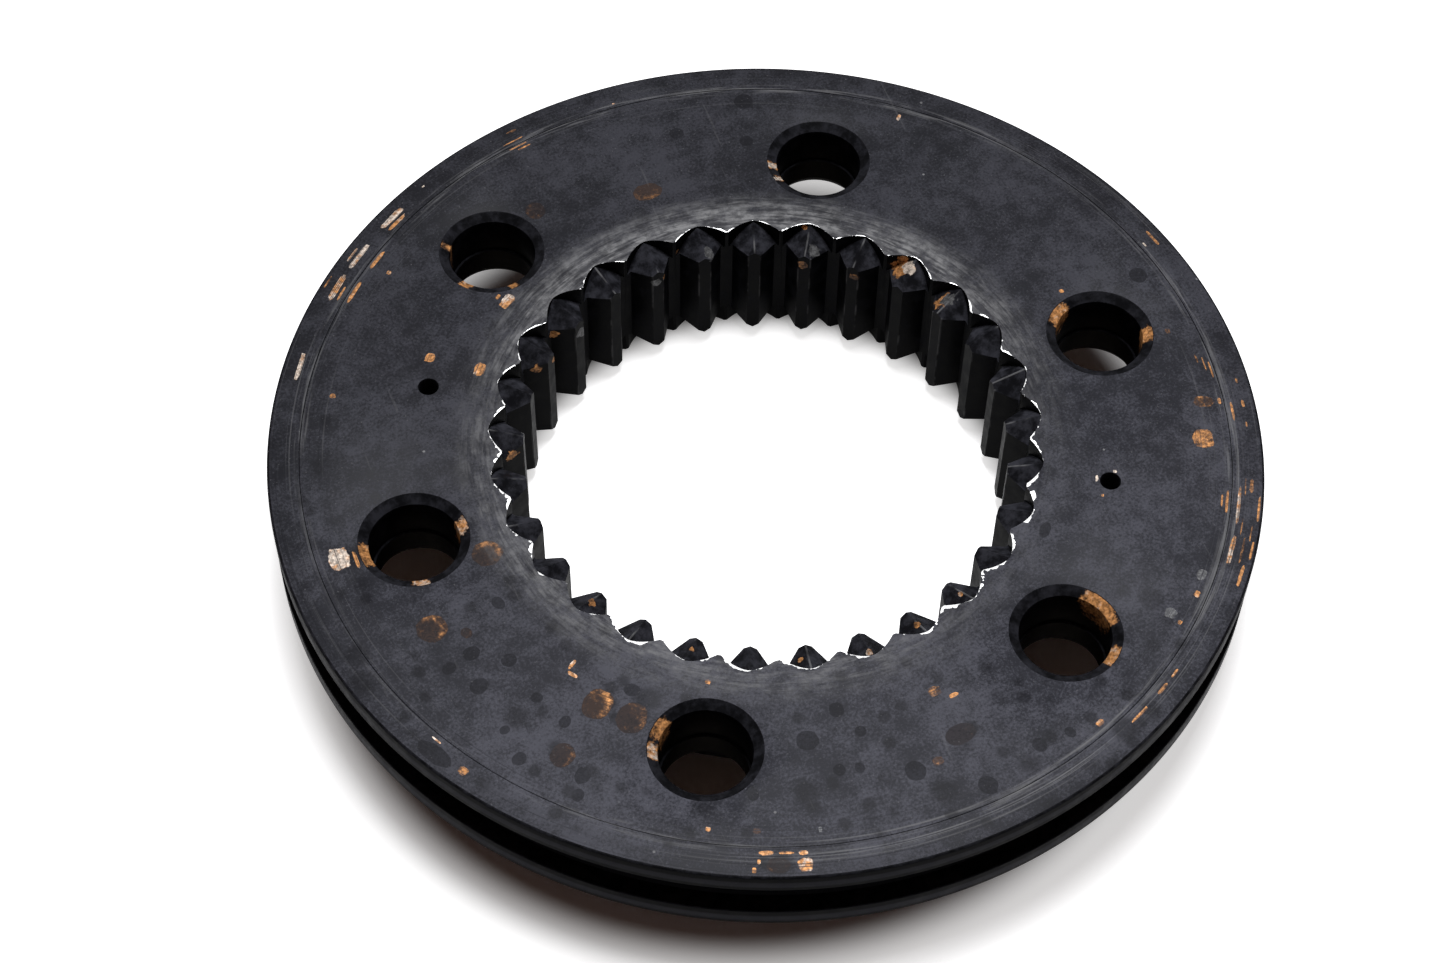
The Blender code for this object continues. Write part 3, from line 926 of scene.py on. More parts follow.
def add_holes(bm, sizes):
    """All holes of the inner ring; returns (loop, centre, radius) of each on the top and the under face."""
    soft = EDGE_BREAK / 2
    upper_holes = []
    lower_holes = []
    for i in range(BOLT_COUNT):
        angle = 2 * math.pi * i / BOLT_COUNT
        upper, lower = bolt_hole(bm, sizes, angle)
        centre = polar(sizes.bolt_circle, angle, 0.0)
        upper_holes.append((upper, centre, sizes.mouth_radius + soft))
        lower_holes.append((lower, centre, sizes.bolt_lower + FOOT_WIDTH))
    for angle in DOWEL_ANGLES:
        upper, lower = dowel_hole(bm, sizes, angle)
        centre = polar(sizes.dowel_circle, angle, 0.0)
        upper_holes.append((upper, centre, sizes.dowel_radius + soft))
        lower_holes.append((lower, centre, sizes.dowel_radius + soft))
    return upper_holes, lower_holes


class BEARING_OT_inner_ring(bpy.types.Operator):
    """Build the inner ring with its teeth, holes, hub and lip"""

    bl_idname = "bearing.inner_ring"
    bl_label = "Inner Ring"

    def execute(self, context):
        sizes = context.scene.bearing_sizes
        bm = new_bmesh()
        lip = SEAM_RADIUS - SEAM_HALF
        land = sizes.pitch_radius - LAND_GAP / 2
        lip_bottom = DISC_TOP - LIP_THICKNESS
        turned_side = [
            (lip - EDGE_BREAK / 2, DISC_TOP),
            (lip, DISC_TOP - EDGE_BREAK / 2),
            (lip, lip_bottom),
            (land, lip_bottom),
            *race_profile(sizes, -1),
            (land, DISC_BOTTOM + EDGE_BREAK),
            (land - EDGE_BREAK, DISC_BOTTOM),
        ]
        top_loop, under_loop = turned(bm, turned_side, RING_STEPS)
        fillet_centre = (sizes.hub_radius + HUB_FILLET, DISC_BOTTOM - HUB_FILLET)
        hub_side = [
            *arc(fillet_centre, HUB_FILLET, 90, 180, FILLET_STEPS),
            (sizes.hub_radius, FOOT_EDGE_BREAK),
            (sizes.hub_radius - FOOT_EDGE_BREAK, 0.0),
            (SLEEVE_RADIUS, 0.0),
        ]
        hub_loop = turned(bm, hub_side, RING_STEPS)[0]
        sleeve_loop = circle(bm, SLEEVE_RADIUS, DISC_TOP, RING_STEPS)
        upper_holes, lower_holes = add_holes(bm, sizes)
        marks = face_marks(SLEEVE_RADIUS, SEAM_RADIUS, INNER_SEEDS)
        flat_face(bm, DISC_TOP, top_loop, sleeve_loop, upper_holes, marks)
        flat_face(bm, DISC_BOTTOM, under_loop, hub_loop, lower_holes, [])
        add_sleeve(bm, sizes)
        finishes = [black_oxide(context), oily_black_and_painted_shade(context)]
        finish_piece(bm, "inner_ring_turned", INNER_BODY, finishes, ["inner_ring"])
        return {"FINISHED"}


class BEARING_OT_outer_ring(bpy.types.Operator):
    """Build the grooved outer ring"""

    bl_idname = "bearing.outer_ring"
    bl_label = "Outer Ring"

    def execute(self, context):
        sizes = context.scene.bearing_sizes
        bm = new_bmesh()
        inner = SEAM_RADIUS + SEAM_HALF
        soft = RIM_EDGE_BREAK
        flange_top = ROW_HEIGHT + sizes.groove_width / 2
        flange_bottom = ROW_HEIGHT - sizes.groove_width / 2
        seat = UPPER_SEAL_BOX[1][0] + FIT_GAP
        land = sizes.pitch_radius + LAND_GAP / 2
        upper_seat = UPPER_SEAL_BOX[0][2] - FIT_GAP
        lower_seat = LOWER_SEAL_BOX[1][2] + FIT_GAP
        recess_floor = DISC_TOP - LIP_THICKNESS - FIT_GAP
        profile = [
            *arc((RIM_RADIUS - soft, DISC_TOP - soft), soft, 90, 0, EDGE_STEPS),
            (RIM_RADIUS, flange_top + EDGE_BREAK),
            (RIM_RADIUS - EDGE_BREAK, flange_top),
            (sizes.groove_radius + soft, flange_top),
            (sizes.groove_radius, flange_top - soft),
            (sizes.groove_radius, flange_bottom + soft),
            (sizes.groove_radius + soft, flange_bottom),
            (RIM_RADIUS - EDGE_BREAK, flange_bottom),
            (RIM_RADIUS, flange_bottom - EDGE_BREAK),
            *arc((RIM_RADIUS - soft, DISC_BOTTOM + soft), soft, 0, -90, EDGE_STEPS),
            (seat + EDGE_BREAK, DISC_BOTTOM),
            (seat, DISC_BOTTOM + EDGE_BREAK),
            (seat, lower_seat),
            (land, lower_seat),
            *reversed(race_profile(sizes, 1)),
            (land, upper_seat),
            (seat, upper_seat),
            (seat, recess_floor),
            (inner, recess_floor),
            (inner, DISC_TOP - EDGE_BREAK / 2),
            (inner + EDGE_BREAK / 2, DISC_TOP),
        ]
        rim_loop, seam_loop = turned(bm, profile, RING_STEPS)
        # Upright faces and those out towards the rim take the near-black finish, partly oil and partly
        # painted shade
        oily_and_shaded_from = sizes.groove_radius + 2 * soft
        for face in bm.faces:
            face.normal_update()
            upright = abs(face.normal.z) < FLAT_LEAST
            face.material_index = int(upright or face.calc_center_median().xy.length > oily_and_shaded_from)
        marks = face_marks(SEAM_RADIUS, RIM_RADIUS, OUTER_SEEDS)
        flat_face(bm, DISC_TOP, rim_loop, seam_loop, [], marks)
        finishes = [black_oxide(context), oily_black_and_painted_shade(context)]
        finish_piece(bm, "outer_ring_turned", OUTER_BODY, finishes, ["outer_ring"])
        return {"FINISHED"}


class BEARING_OT_ball_row(bpy.types.Operator):
    """Build the row of polished balls"""

    bl_idname = "bearing.ball_row"
    bl_label = "Ball Row"

    def execute(self, context):
        sizes = context.scene.bearing_sizes
        bm = bmesh.new()
        for name in BALL_NODES:
            low, high = (Vector(corner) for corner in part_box(name))
            bmesh.ops.create_uvsphere(
                bm,
                u_segments=2 * BALL_RINGS,
                v_segments=BALL_RINGS,
                radius=sizes.ball_radius,
                matrix=Matrix.Translation((low + high) / 2),
            )
        finishes = [bearing_steel(context)]
        finish_piece(bm, "ball_row", CAGE_BODY, finishes, BALL_NODES, BALL_SMOOTH_ANGLE)
        return {"FINISHED"}


class BEARING_OT_small_pieces(bpy.types.Operator):
    """Finish the cage, seals, loading plug and its pin"""

    bl_idname = "bearing.small_pieces"
    bl_label = "Cage, Seals and Plug"

    def execute(self, context):
        finishes = {
            "ball_cage": cage_polymer(context),
            "upper_seal": seal_rubber(context),
            "lower_seal": seal_rubber(context),
            "loading_plug": bearing_steel(context),
            "plug_pin": bearing_steel(context),
        }
        for node, material in finishes.items():
            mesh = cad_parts[node].data
            mesh.materials.clear()
            mesh.materials.append(material)
        return {"FINISHED"}


def set_inputs(tree, item, inputs):
    """Links or sets a node's inputs."""
    for key, value in inputs.items():
        if isinstance(value, bpy.types.NodeSocket):
            tree.links.new(value, item.inputs[key])
        else:
            item.inputs[key].default_value = value


def place_node(tree, kind, inputs=None, **settings):
    """Adds a shader node, sets its options and links or sets its inputs."""
    item = tree.nodes.new(kind)
    for key, value in settings.items():
        setattr(item, key, value)
    set_inputs(tree, item, inputs or {})
    return item


def calc(tree, operation, first, second=0.0):
    """A Math node's result."""
    return place_node(tree, "ShaderNodeMath", {0: first, 1: second}, operation=operation).outputs[0]


def times(tree, first, second):
    """Two values multiplied."""
    return calc(tree, "MULTIPLY", first, second)


def ramp(tree, value, low, high, start=0.0, end=1.0):
    """A smooth step from start to end between two values."""
    limits = {"Value": value, "From Min": low, "From Max": high, "To Min": start, "To Max": end}
    item = place_node(tree, "ShaderNodeMapRange", limits, interpolation_type="SMOOTHSTEP")
    return item.outputs["Result"]


def blend_colour(tree, factor, first, second, mode="MIX"):
    """A colour mixed between two others."""
    inputs = {0: factor, 6: first, 7: second}
    return place_node(tree, "ShaderNodeMix", inputs, data_type="RGBA", blend_type=mode).outputs[2]


def noise(tree, vector, scale, detail=3.0, roughness=0.55):
    """A Noise texture's value."""
    inputs = {"Vector": vector, "Scale": scale, "Detail": detail, "Roughness": roughness}
    return place_node(tree, "ShaderNodeTexNoise", inputs).outputs["Fac"]


def measure(tree, operation, first, second=(0.0, 0.0, 0.0)):
    """A Vector Math node's single value."""
    item = place_node(tree, "ShaderNodeVectorMath", {0: first, 1: second}, operation=operation)
    return item.outputs["Value"]


def along(tree, place, side):
    """How far a point lies towards one side of the ring."""
    return measure(tree, "DOT_PRODUCT", place, side)


def grey(tree, value):
    """A value as a grey colour."""
    return place_node(tree, "ShaderNodeCombineXYZ", {0: value, 1: value, 2: value}).outputs[0]


def bumps(tree, height, strength, depth):
    """A normal that follows a height."""
    inputs = {"Strength": strength, "Distance": depth, "Height": height}
    return place_node(tree, "ShaderNodeBump", inputs).outputs[0]


def own_place(tree):
    """A point's place in the piece's own frame."""
    return tree.nodes.new("ShaderNodeTexCoord").outputs["Object"]


def place_group(tree, group, inputs=None):
    """Places a node group and returns its outputs."""
    return place_node(tree, "ShaderNodeGroup", inputs, node_tree=group).outputs


def new_group(name, inputs, outputs):
    """A shader node group; returns its tree, the sockets that it is given and its output node."""
    tree = bpy.data.node_groups.new(name, "ShaderNodeTree")
    for sockets, way in ((inputs, "INPUT"), (outputs, "OUTPUT")):
        for socket, kind in sockets.items():
            tree.interface.new_socket(socket, in_out=way, socket_type=kind)
    return tree, tree.nodes.new("NodeGroupInput").outputs, tree.nodes.new("NodeGroupOutput")


# Socket types of the node groups
VALUE = "NodeSocketFloat"
COLOUR = "NodeSocketColor"

# Oil spots: scale of the cells, size of a spot, and share of the cells that hold one
SPOT_LAYERS = ((115.0, 0.36, 0.45), (215.0, 0.36, 0.45))

# Small bright nicks: scale of the cells and size of a nick
NICK_SCALE = 150.0
NICK_SIZE = 0.045

# Sides of the ring, by angles seen from the camera, where each kind of wear, or the painted sheen, is
# strongest
STAIN_SIDE = polar(1.0, ring_angle(-100.0), 0.0)
RUBBED_SIDE = polar(1.0, ring_angle(95.0), 0.0)
# The side towards which the oxide is painted paler, as a painted sheen
PAINTED_SHEEN_SIDE = polar(1.0, ring_angle(-72.0), 0.0)
GREASED_SIDE = polar(1.0, ring_angle(-122.0), 0.0)
LINED_SIDE = polar(1.0, ring_angle(-48.0), 0.0)

# Middle of the stretch with tool lines, and where a tooth's tip corners lie as a share of half a pitch
LINED_RADIUS = 94.6 * MM
TIP_SHARE = 0.245

# Marks drawn along the turn: output, length of a radian and scale
TURNED_MARKS = (("Lines", 0.0005, 2600.0), ("Streaks", 0.0040, 1700.0), ("Blotches", 0.016, 560.0))


def mottle_group():
    """Cloudy change of tone with dried oil spots and fine specks."""
    name = "oxide_mottle"
    if name in bpy.data.node_groups:
        return bpy.data.node_groups[name]
    tree, _, out = new_group(name, {}, {"Cloud": VALUE, "Spots": VALUE, "Specks": VALUE})
    place = own_place(tree)
    fine = noise(tree, place, 1700.0, 4.0, 0.75)
    cloud = times(tree, fine, 0.45)
    for scale, share in ((45.0, 0.3), (260.0, 0.25)):
        cloud = calc(tree, "ADD", cloud, times(tree, noise(tree, place, scale, 4.0, 0.6), share))
    spots = 0.0
    for scale, size, share in SPOT_LAYERS:
        cells = place_node(tree, "ShaderNodeTexVoronoi", {"Vector": place, "Scale": scale}).outputs
        wavy = calc(tree, "ADD", cells["Distance"], times(tree, fine, 0.08))
        pick = place_node(tree, "ShaderNodeSeparateColor", {0: cells["Color"]}).outputs[0]
        layer = times(tree, ramp(tree, wavy, size + 0.09, size * 0.6), calc(tree, "LESS_THAN", pick, share))
        spots = calc(tree, "MAXIMUM", spots, layer)
    side = ramp(tree, along(tree, place, STAIN_SIDE), -10.0 * MM, 45.0 * MM, 0.2, 1.0)
    specks = ramp(tree, noise(tree, place, 1900.0, 2.0, 0.5), 0.66, 0.74, 0.0, 0.25)
    cells = place_node(tree, "ShaderNodeTexVoronoi", {"Vector": place, "Scale": NICK_SCALE}).outputs
    pick = place_node(tree, "ShaderNodeSeparateColor", {0: cells["Color"]}).outputs[1]
    nick = calc(tree, "LESS_THAN", cells["Distance"], NICK_SIZE)
    nick = times(tree, nick, ramp(tree, pick, 0.5, 1.0, 0.0, 0.9))
    results = {
        "Cloud": ramp(tree, cloud, 0.37, 0.65),
        "Spots": times(tree, spots, side),
        "Specks": calc(tree, "MAXIMUM", specks, nick),
    }
    set_inputs(tree, out, results)
    return tree


def turning_group():
    """Places on the ring: radius, marks along the turn, and where a point lies on lobes and flanges."""
    name = "turned_ring"
    if name in bpy.data.node_groups:
        return bpy.data.node_groups[name]
    sizes = bpy.context.scene.bearing_sizes
    outputs = ("Radius", "Lines", "Streaks", "Blotches", "Lobe Distance", "Lobe Share", "Flange", "Up")
    tree, _, out = new_group(name, {}, {output: VALUE for output in outputs})
    split = place_node(tree, "ShaderNodeSeparateXYZ", {0: own_place(tree)}).outputs
    flat = place_node(tree, "ShaderNodeCombineXYZ", {0: split[0], 1: split[1]}).outputs[0]
    radius = measure(tree, "LENGTH", flat)
    angle = calc(tree, "ARCTAN2", split[1], split[0])
    teeth = calc(tree, "DIVIDE", calc(tree, "SUBTRACT", angle, TOOTH_TURN), TOOTH_PITCH)
    share = times(tree, calc(tree, "PINGPONG", teeth, 0.5), 2.0)
    dip = times(tree, calc(tree, "POWER", share, LOBE_CURVE), lobe_depth(sizes))
    lobe = calc(tree, "SUBTRACT", sizes.lobe_radius, dip)
    normal = tree.nodes.new("ShaderNodeTexCoord").outputs["Normal"]
    flange = (DISC_TOP - DISC_BOTTOM - sizes.groove_width) / 2
    below = calc(tree, "SUBTRACT", DISC_TOP, split[2])
    below = calc(tree, "MODULO", below, flange + sizes.groove_width)
    results = {
        "Radius": radius,
        "Lobe Distance": calc(tree, "SUBTRACT", radius, lobe),
        "Lobe Share": share,
        "Flange": calc(tree, "DIVIDE", below, flange),
        "Up": place_node(tree, "ShaderNodeSeparateXYZ", {0: normal}).outputs[2],
    }
    aim = place_node(tree, "ShaderNodeVectorMath", {0: flat}, operation="NORMALIZE").outputs[0]
    aim = place_node(tree, "ShaderNodeSeparateXYZ", {0: aim}).outputs
    for output, length, scale in TURNED_MARKS:
        spread = {0: radius, 1: times(tree, aim[0], length), 2: times(tree, aim[1], length)}
        spread = place_node(tree, "ShaderNodeCombineXYZ", spread).outputs[0]
        results[output] = noise(tree, spread, scale, 3.0, 0.65)
    set_inputs(tree, out, results)
    return tree


def chip_group():
    """Ragged chips to bare metal from layers of bareness and tint."""
    name = "chips_to_metal"
    if name in bpy.data.node_groups:
        return bpy.data.node_groups[name]
    colours = {socket: COLOUR for socket in ("Brown", "Gold", "Pale", "Steel")}
    values = {socket: VALUE for socket in ("Bare", "Tint", "Soft", "Lines")}
    tree, given, out = new_group(name, {**colours, **values}, {"Mask": VALUE, "Metal": COLOUR})
    place = own_place(tree)
    bare = given["Bare"]
    tint = given["Tint"]
    ragged = calc(tree, "SUBTRACT", noise(tree, place, 800.0, 4.0, 0.7), 0.5)
    edge = calc(tree, "ADD", bare, times(tree, ragged, 1.6))
    low = calc(tree, "SUBTRACT", 0.36, times(tree, given["Soft"], 0.26))
    high = calc(tree, "ADD", 0.62, times(tree, given["Soft"], 0.48))
    mask = times(tree, ramp(tree, edge, low, high), ramp(tree, bare, 0.0, 0.1))
    mask = times(tree, mask, ramp(tree, noise(tree, place, 1100.0, 3.0, 0.65), 0.36, 0.60, 0.7, 1.0))
    mask = times(tree, mask, given["Lines"])
    patch = calc(tree, "SUBTRACT", noise(tree, place, 620.0, 4.0, 0.65), 0.5)
    warmth = calc(tree, "ADD", tint, times(tree, patch, 1.6))
    metal = blend_colour(tree, ramp(tree, warmth, 0.1, 0.5), given["Brown"], given["Gold"])
    metal = blend_colour(tree, ramp(tree, warmth, 0.62, 1.0), metal, given["Pale"])
    metal = blend_colour(tree, ramp(tree, tint, 1.4, 1.6), metal, given["Steel"])
    grain = ramp(tree, noise(tree, place, 1300.0, 4.0, 0.7), 0.34, 0.66, 0.45, 1.35)
    metal = blend_colour(tree, 1.0, metal, grey(tree, grain), "MULTIPLY")
    set_inputs(tree, out, {"Mask": mask, "Metal": metal})
    return tree


def new_material(name):
    """An empty node material and its shader."""
    material = bpy.data.materials.new(name)
    material.use_nodes = True
    return material, material.node_tree, material.node_tree.nodes["Principled BSDF"]


def layer_value(tree, name):
    """A wear layer painted on the mesh."""
    return place_node(tree, "ShaderNodeAttribute", attribute_name=name).outputs["Fac"]


def colour_of(values, share=1.0):
    """A share of a colour, with full alpha."""
    return (*(share * value for value in values), 1.0)


def place_chips(tree, colours, bare, tint, soft, lines):
    """The chip group with this object's metal colours."""
    inputs = {
        "Brown": colour_of(colours.rust),
        "Gold": colour_of(colours.gold),
        "Pale": colour_of(colours.bare),
        "Steel": colour_of(colours.rubbed, 0.5),
        "Bare": bare,
        "Tint": tint,
        "Soft": soft,
        "Lines": lines,
    }
    return place_group(tree, chip_group(), inputs)


def tooth_marks(tree, place):
    """Layers of bareness and tint from the wear on the mesh and the marks on the tooth ends."""
    bare = layer_value(tree, "bare")
    tint = layer_value(tree, "tint")
    wobble = calc(tree, "SUBTRACT", noise(tree, place, 420.0, 3.0, 0.6), 0.5)
    for degrees, radius, depth, reach, shade in TOOTH_MARKS:
        middle = polar(radius * MM, ring_angle(degrees), DISC_TOP - depth * MM)
        far = measure(tree, "DISTANCE", place, middle)
        far = calc(tree, "ADD", far, times(tree, wobble, 2.2 * reach * MM))
        edge = 1.25 * reach * MM
        bare = calc(tree, "MAXIMUM", bare, ramp(tree, far, edge, 0.45 * reach * MM))
        tint = calc(tree, "MAXIMUM", tint, times(tree, calc(tree, "LESS_THAN", far, edge), shade))
    return bare, tint


def hairlines(tree, place, turn, scale):
    """Thin straight scratches in one direction."""
    mapping = {"Vector": place, "Rotation": (0.0, 0.0, turn), "Scale": (1.0, 0.06, 1.0)}
    drawn = place_node(tree, "ShaderNodeMapping", mapping).outputs[0]
    return ramp(tree, noise(tree, drawn, scale, 2.0, 0.5), 0.71, 0.77)


def cloudy_oxide_with_painted_sheen(tree, colours, mottle, ring, place):
    """Cloudy oxide, with a painted sheen that is paler towards one side and darker towards the other, and
    darker outside the seam.
    """
    patches = calc(tree, "ADD", times(tree, mottle["Cloud"], 0.75), times(tree, ring["Blotches"], 0.25))
    clean = colour_of(colours.oxide)
    tone = blend_colour(tree, ramp(tree, patches, 0.18, 0.82), clean, colour_of(colours.oxide_pale))
    # Painted sheen: paler towards one side and darker towards the other
    dulled = ramp(tree, along(tree, place, PAINTED_SHEEN_SIDE), -75.0 * MM, 85.0 * MM, 0.72, 1.45)
    dulled = times(tree, dulled, ramp(tree, ring["Radius"], 95.0 * MM, 97.0 * MM, 1.0, 0.84))
    return blend_colour(tree, 1.0, tone, grey(tree, dulled), "MULTIPLY")


def tool_lines(tree, tone, colours, ring, place):
    """Light and dark tool lines near the rim, and a painted highlight along the seam's edges, in rubbed
    steel.
    """
    rubbed = colour_of(colours.rubbed)
    radius = ring["Radius"]
    rim = ramp(tree, radius, 84.0 * MM, 92.0 * MM)
    light = times(tree, ramp(tree, ring["Lines"], 0.58, 0.72), rim)
    tone = blend_colour(tree, times(tree, light, 0.2), tone, rubbed)
    dark = times(tree, ramp(tree, ring["Lines"], 0.42, 0.30), rim)
    tone = blend_colour(tree, times(tree, dark, 0.5), tone, colour_of(colours.oil))
    # Painted highlight: the seam's edge breaks and a band beside them are painted pale
    away = calc(tree, "ABSOLUTE", calc(tree, "SUBTRACT", radius, SEAM_RADIUS))
    beside = ramp(tree, away, 1.6 * MM, 0.8 * MM, 0.0, 0.7)
    seam = calc(tree, "MAXIMUM", ramp(tree, away, 0.35 * MM, 0.1 * MM), beside)
    seam = times(tree, seam, ramp(tree, ring["Streaks"], 0.46, 0.66))
    seam = times(tree, seam, ramp(tree, noise(tree, place, 16.0, 2.0, 0.5), 0.36, 0.58))
    tone = blend_colour(tree, times(tree, seam, 0.6), tone, rubbed)
    away = calc(tree, "ABSOLUTE", calc(tree, "SUBTRACT", radius, LINED_RADIUS))
    lined = times(tree, ramp(tree, away, 3.0 * MM, 1.2 * MM), ramp(tree, ring["Lines"], 0.50, 0.62))
    lined = times(tree, lined, ramp(tree, along(tree, place, LINED_SIDE), 35.0 * MM, 95.0 * MM, 0.0, 0.5))
    lined = times(tree, lined, ramp(tree, ring["Streaks"], 0.36, 0.56, 0.2, 1.0))
    return blend_colour(tree, lined, tone, rubbed)


def dried_oil(tree, tone, colours, mottle, tint, stain):
    """Dried oil spots, browned where they are tinted."""
    cloud = mottle["Cloud"]
    ragged = times(tree, calc(tree, "SUBTRACT", cloud, 0.5), 0.5)
    stain = ramp(tree, calc(tree, "ADD", stain, ragged), 0.35, 0.65)
    spots = calc(tree, "MAXIMUM", mottle["Spots"], times(tree, stain, 1.1))
    tone = blend_colour(tree, times(tree, spots, 0.6), tone, colour_of(colours.oil))
    browned = times(tree, stain, ramp(tree, tint, 0.05, 0.35, 0.0, 0.8))
    browned = times(tree, browned, ramp(tree, cloud, 0.2, 0.7, 0.4, 1.0))
    return blend_colour(tree, browned, tone, colour_of(colours.rust))


def rubbed_band(tree, ring, place, lobe_radius):
    """Mask of the band rubbed round the teeth, strongest on the far side."""
    far = ramp(tree, along(tree, place, RUBBED_SIDE), -10.0 * MM, 57.0 * MM)
    near = ramp(tree, along(tree, place, GREASED_SIDE), -5.0 * MM, 57.0 * MM, 0.0, 0.55)
    band = calc(tree, "ADD", calc(tree, "MAXIMUM", far, near), 0.1)
    reach = ramp(tree, ring["Radius"], lobe_radius + 9.0 * MM, lobe_radius + 0.5 * MM)
    band = times(tree, band, reach)
    worn = calc(tree, "ADD", times(tree, ring["Blotches"], 0.55), times(tree, ring["Streaks"], 0.45))
    band = times(tree, band, ramp(tree, worn, 0.40, 0.62, 0.15, 1.1))
    scuffs = noise(tree, place, 330.0, 5.0, 0.7)
    return times(tree, band, ramp(tree, scuffs, 0.36, 0.64, 0.35, 1.0))


def lobe_burrs(tree, ring, place):
    """Mask of the bright burrs along the lobed edge."""
    width = ramp(tree, noise(tree, place, 230.0, 3.0, 0.65), 0.36, 0.70, -0.40 * MM, 0.95 * MM)
    width = times(tree, width, ramp(tree, ring["Lobe Share"], 0.1, 0.9, 0.35, 1.0))
    side = ramp(tree, along(tree, place, RUBBED_SIDE), -55.0 * MM, 55.0 * MM, 1.5, 0.55)
    burr = calc(tree, "LESS_THAN", ring["Lobe Distance"], times(tree, width, side))
    return times(tree, burr, ramp(tree, ring["Up"], 0.2, 0.5))


def black_oxide(context):
    """Worn black oxide with oil spots, turning lines, a rubbed band and chips to bare metal, with a painted
    sheen, a painted highlight along the seam and painted shade on upright faces.
    """
    name = "worn_black_oxide"
    if name in bpy.data.materials:
        return bpy.data.materials[name]
    colours = context.scene.bearing_colours
    rubbed = colour_of(colours.rubbed)
    material, tree, shader = new_material(name)
    mottle = place_group(tree, mottle_group())
    ring = place_group(tree, turning_group())
    place = own_place(tree)
    bare, tint, stain = (layer_value(tree, layer) for layer in WEAR_LAYERS)
    chip_lines = ramp(tree, ring["Lines"], 0.38, 0.50, 0.35, 1.0)
    chips = place_chips(tree, colours, bare, tint, stain, chip_lines)
    burr = lobe_burrs(tree, ring, place)
    # Cloudy oxide with a painted sheen towards one side
    tone = cloudy_oxide_with_painted_sheen(tree, colours, mottle, ring, place)
    tone = tool_lines(tree, tone, colours, ring, place)
    tone = dried_oil(tree, tone, colours, mottle, tint, stain)
    scratches = calc(tree, "MAXIMUM", hairlines(tree, place, 0.5, 900.0), hairlines(tree, place, 2.3, 700.0))
    scratches = calc(tree, "MAXIMUM", times(tree, scratches, 0.1), mottle["Specks"])
    tone = blend_colour(tree, scratches, tone, rubbed)
    band = rubbed_band(tree, ring, place, context.scene.bearing_sizes.lobe_radius)
    tone = blend_colour(tree, band, tone, rubbed)
    tone = blend_colour(tree, burr, tone, colour_of(colours.burr))
    # Painted shade: upright faces are darkened towards the oil colour
    wall = ramp(tree, calc(tree, "ABSOLUTE", ring["Up"]), 0.7, 0.25)
    tone = blend_colour(tree, times(tree, wall, 0.8), tone, colour_of(colours.oil))
    rough = calc(tree, "ADD", 0.38, times(tree, mottle["Cloud"], 0.14))
    height = calc(tree, "ADD", mottle["Cloud"], times(tree, ring["Lines"], 0.5))
    height = calc(tree, "SUBTRACT", height, times(tree, chips["Mask"], 1.2))
    finish = {
        "Base Color": blend_colour(tree, chips["Mask"], tone, chips["Metal"]),
        "Roughness": calc(tree, "SUBTRACT", rough, times(tree, mottle["Spots"], 0.06)),
        "Metallic": calc(tree, "MAXIMUM", times(tree, chips["Mask"], 0.3), times(tree, burr, 0.6)),
        "Specular IOR Level": 0.045,
        "Normal": bumps(tree, height, 0.2, 0.05 * MM),
    }
    set_inputs(tree, shader, finish)
    return material


def painted_tooth_edge_highlights(tree, ring, place, roof):
    """Mask of the painted highlights on the ridges of the tooth ends and corners of the tooth tips."""
    ridge = times(tree, ramp(tree, ring["Lobe Share"], 0.045, 0.015), roof)
    corner = calc(tree, "ABSOLUTE", calc(tree, "SUBTRACT", ring["Lobe Share"], TIP_SHARE))
    on_tip = ramp(tree, ring["Radius"], 49.4 * MM, 49.1 * MM)
    corner = times(tree, ramp(tree, corner, 0.05, 0.01), on_tip)
    edges = calc(tree, "MAXIMUM", ridge, times(tree, corner, 0.4))
    return times(tree, edges, ramp(tree, noise(tree, place, 120.0, 3.0, 0.6), 0.48, 0.62))


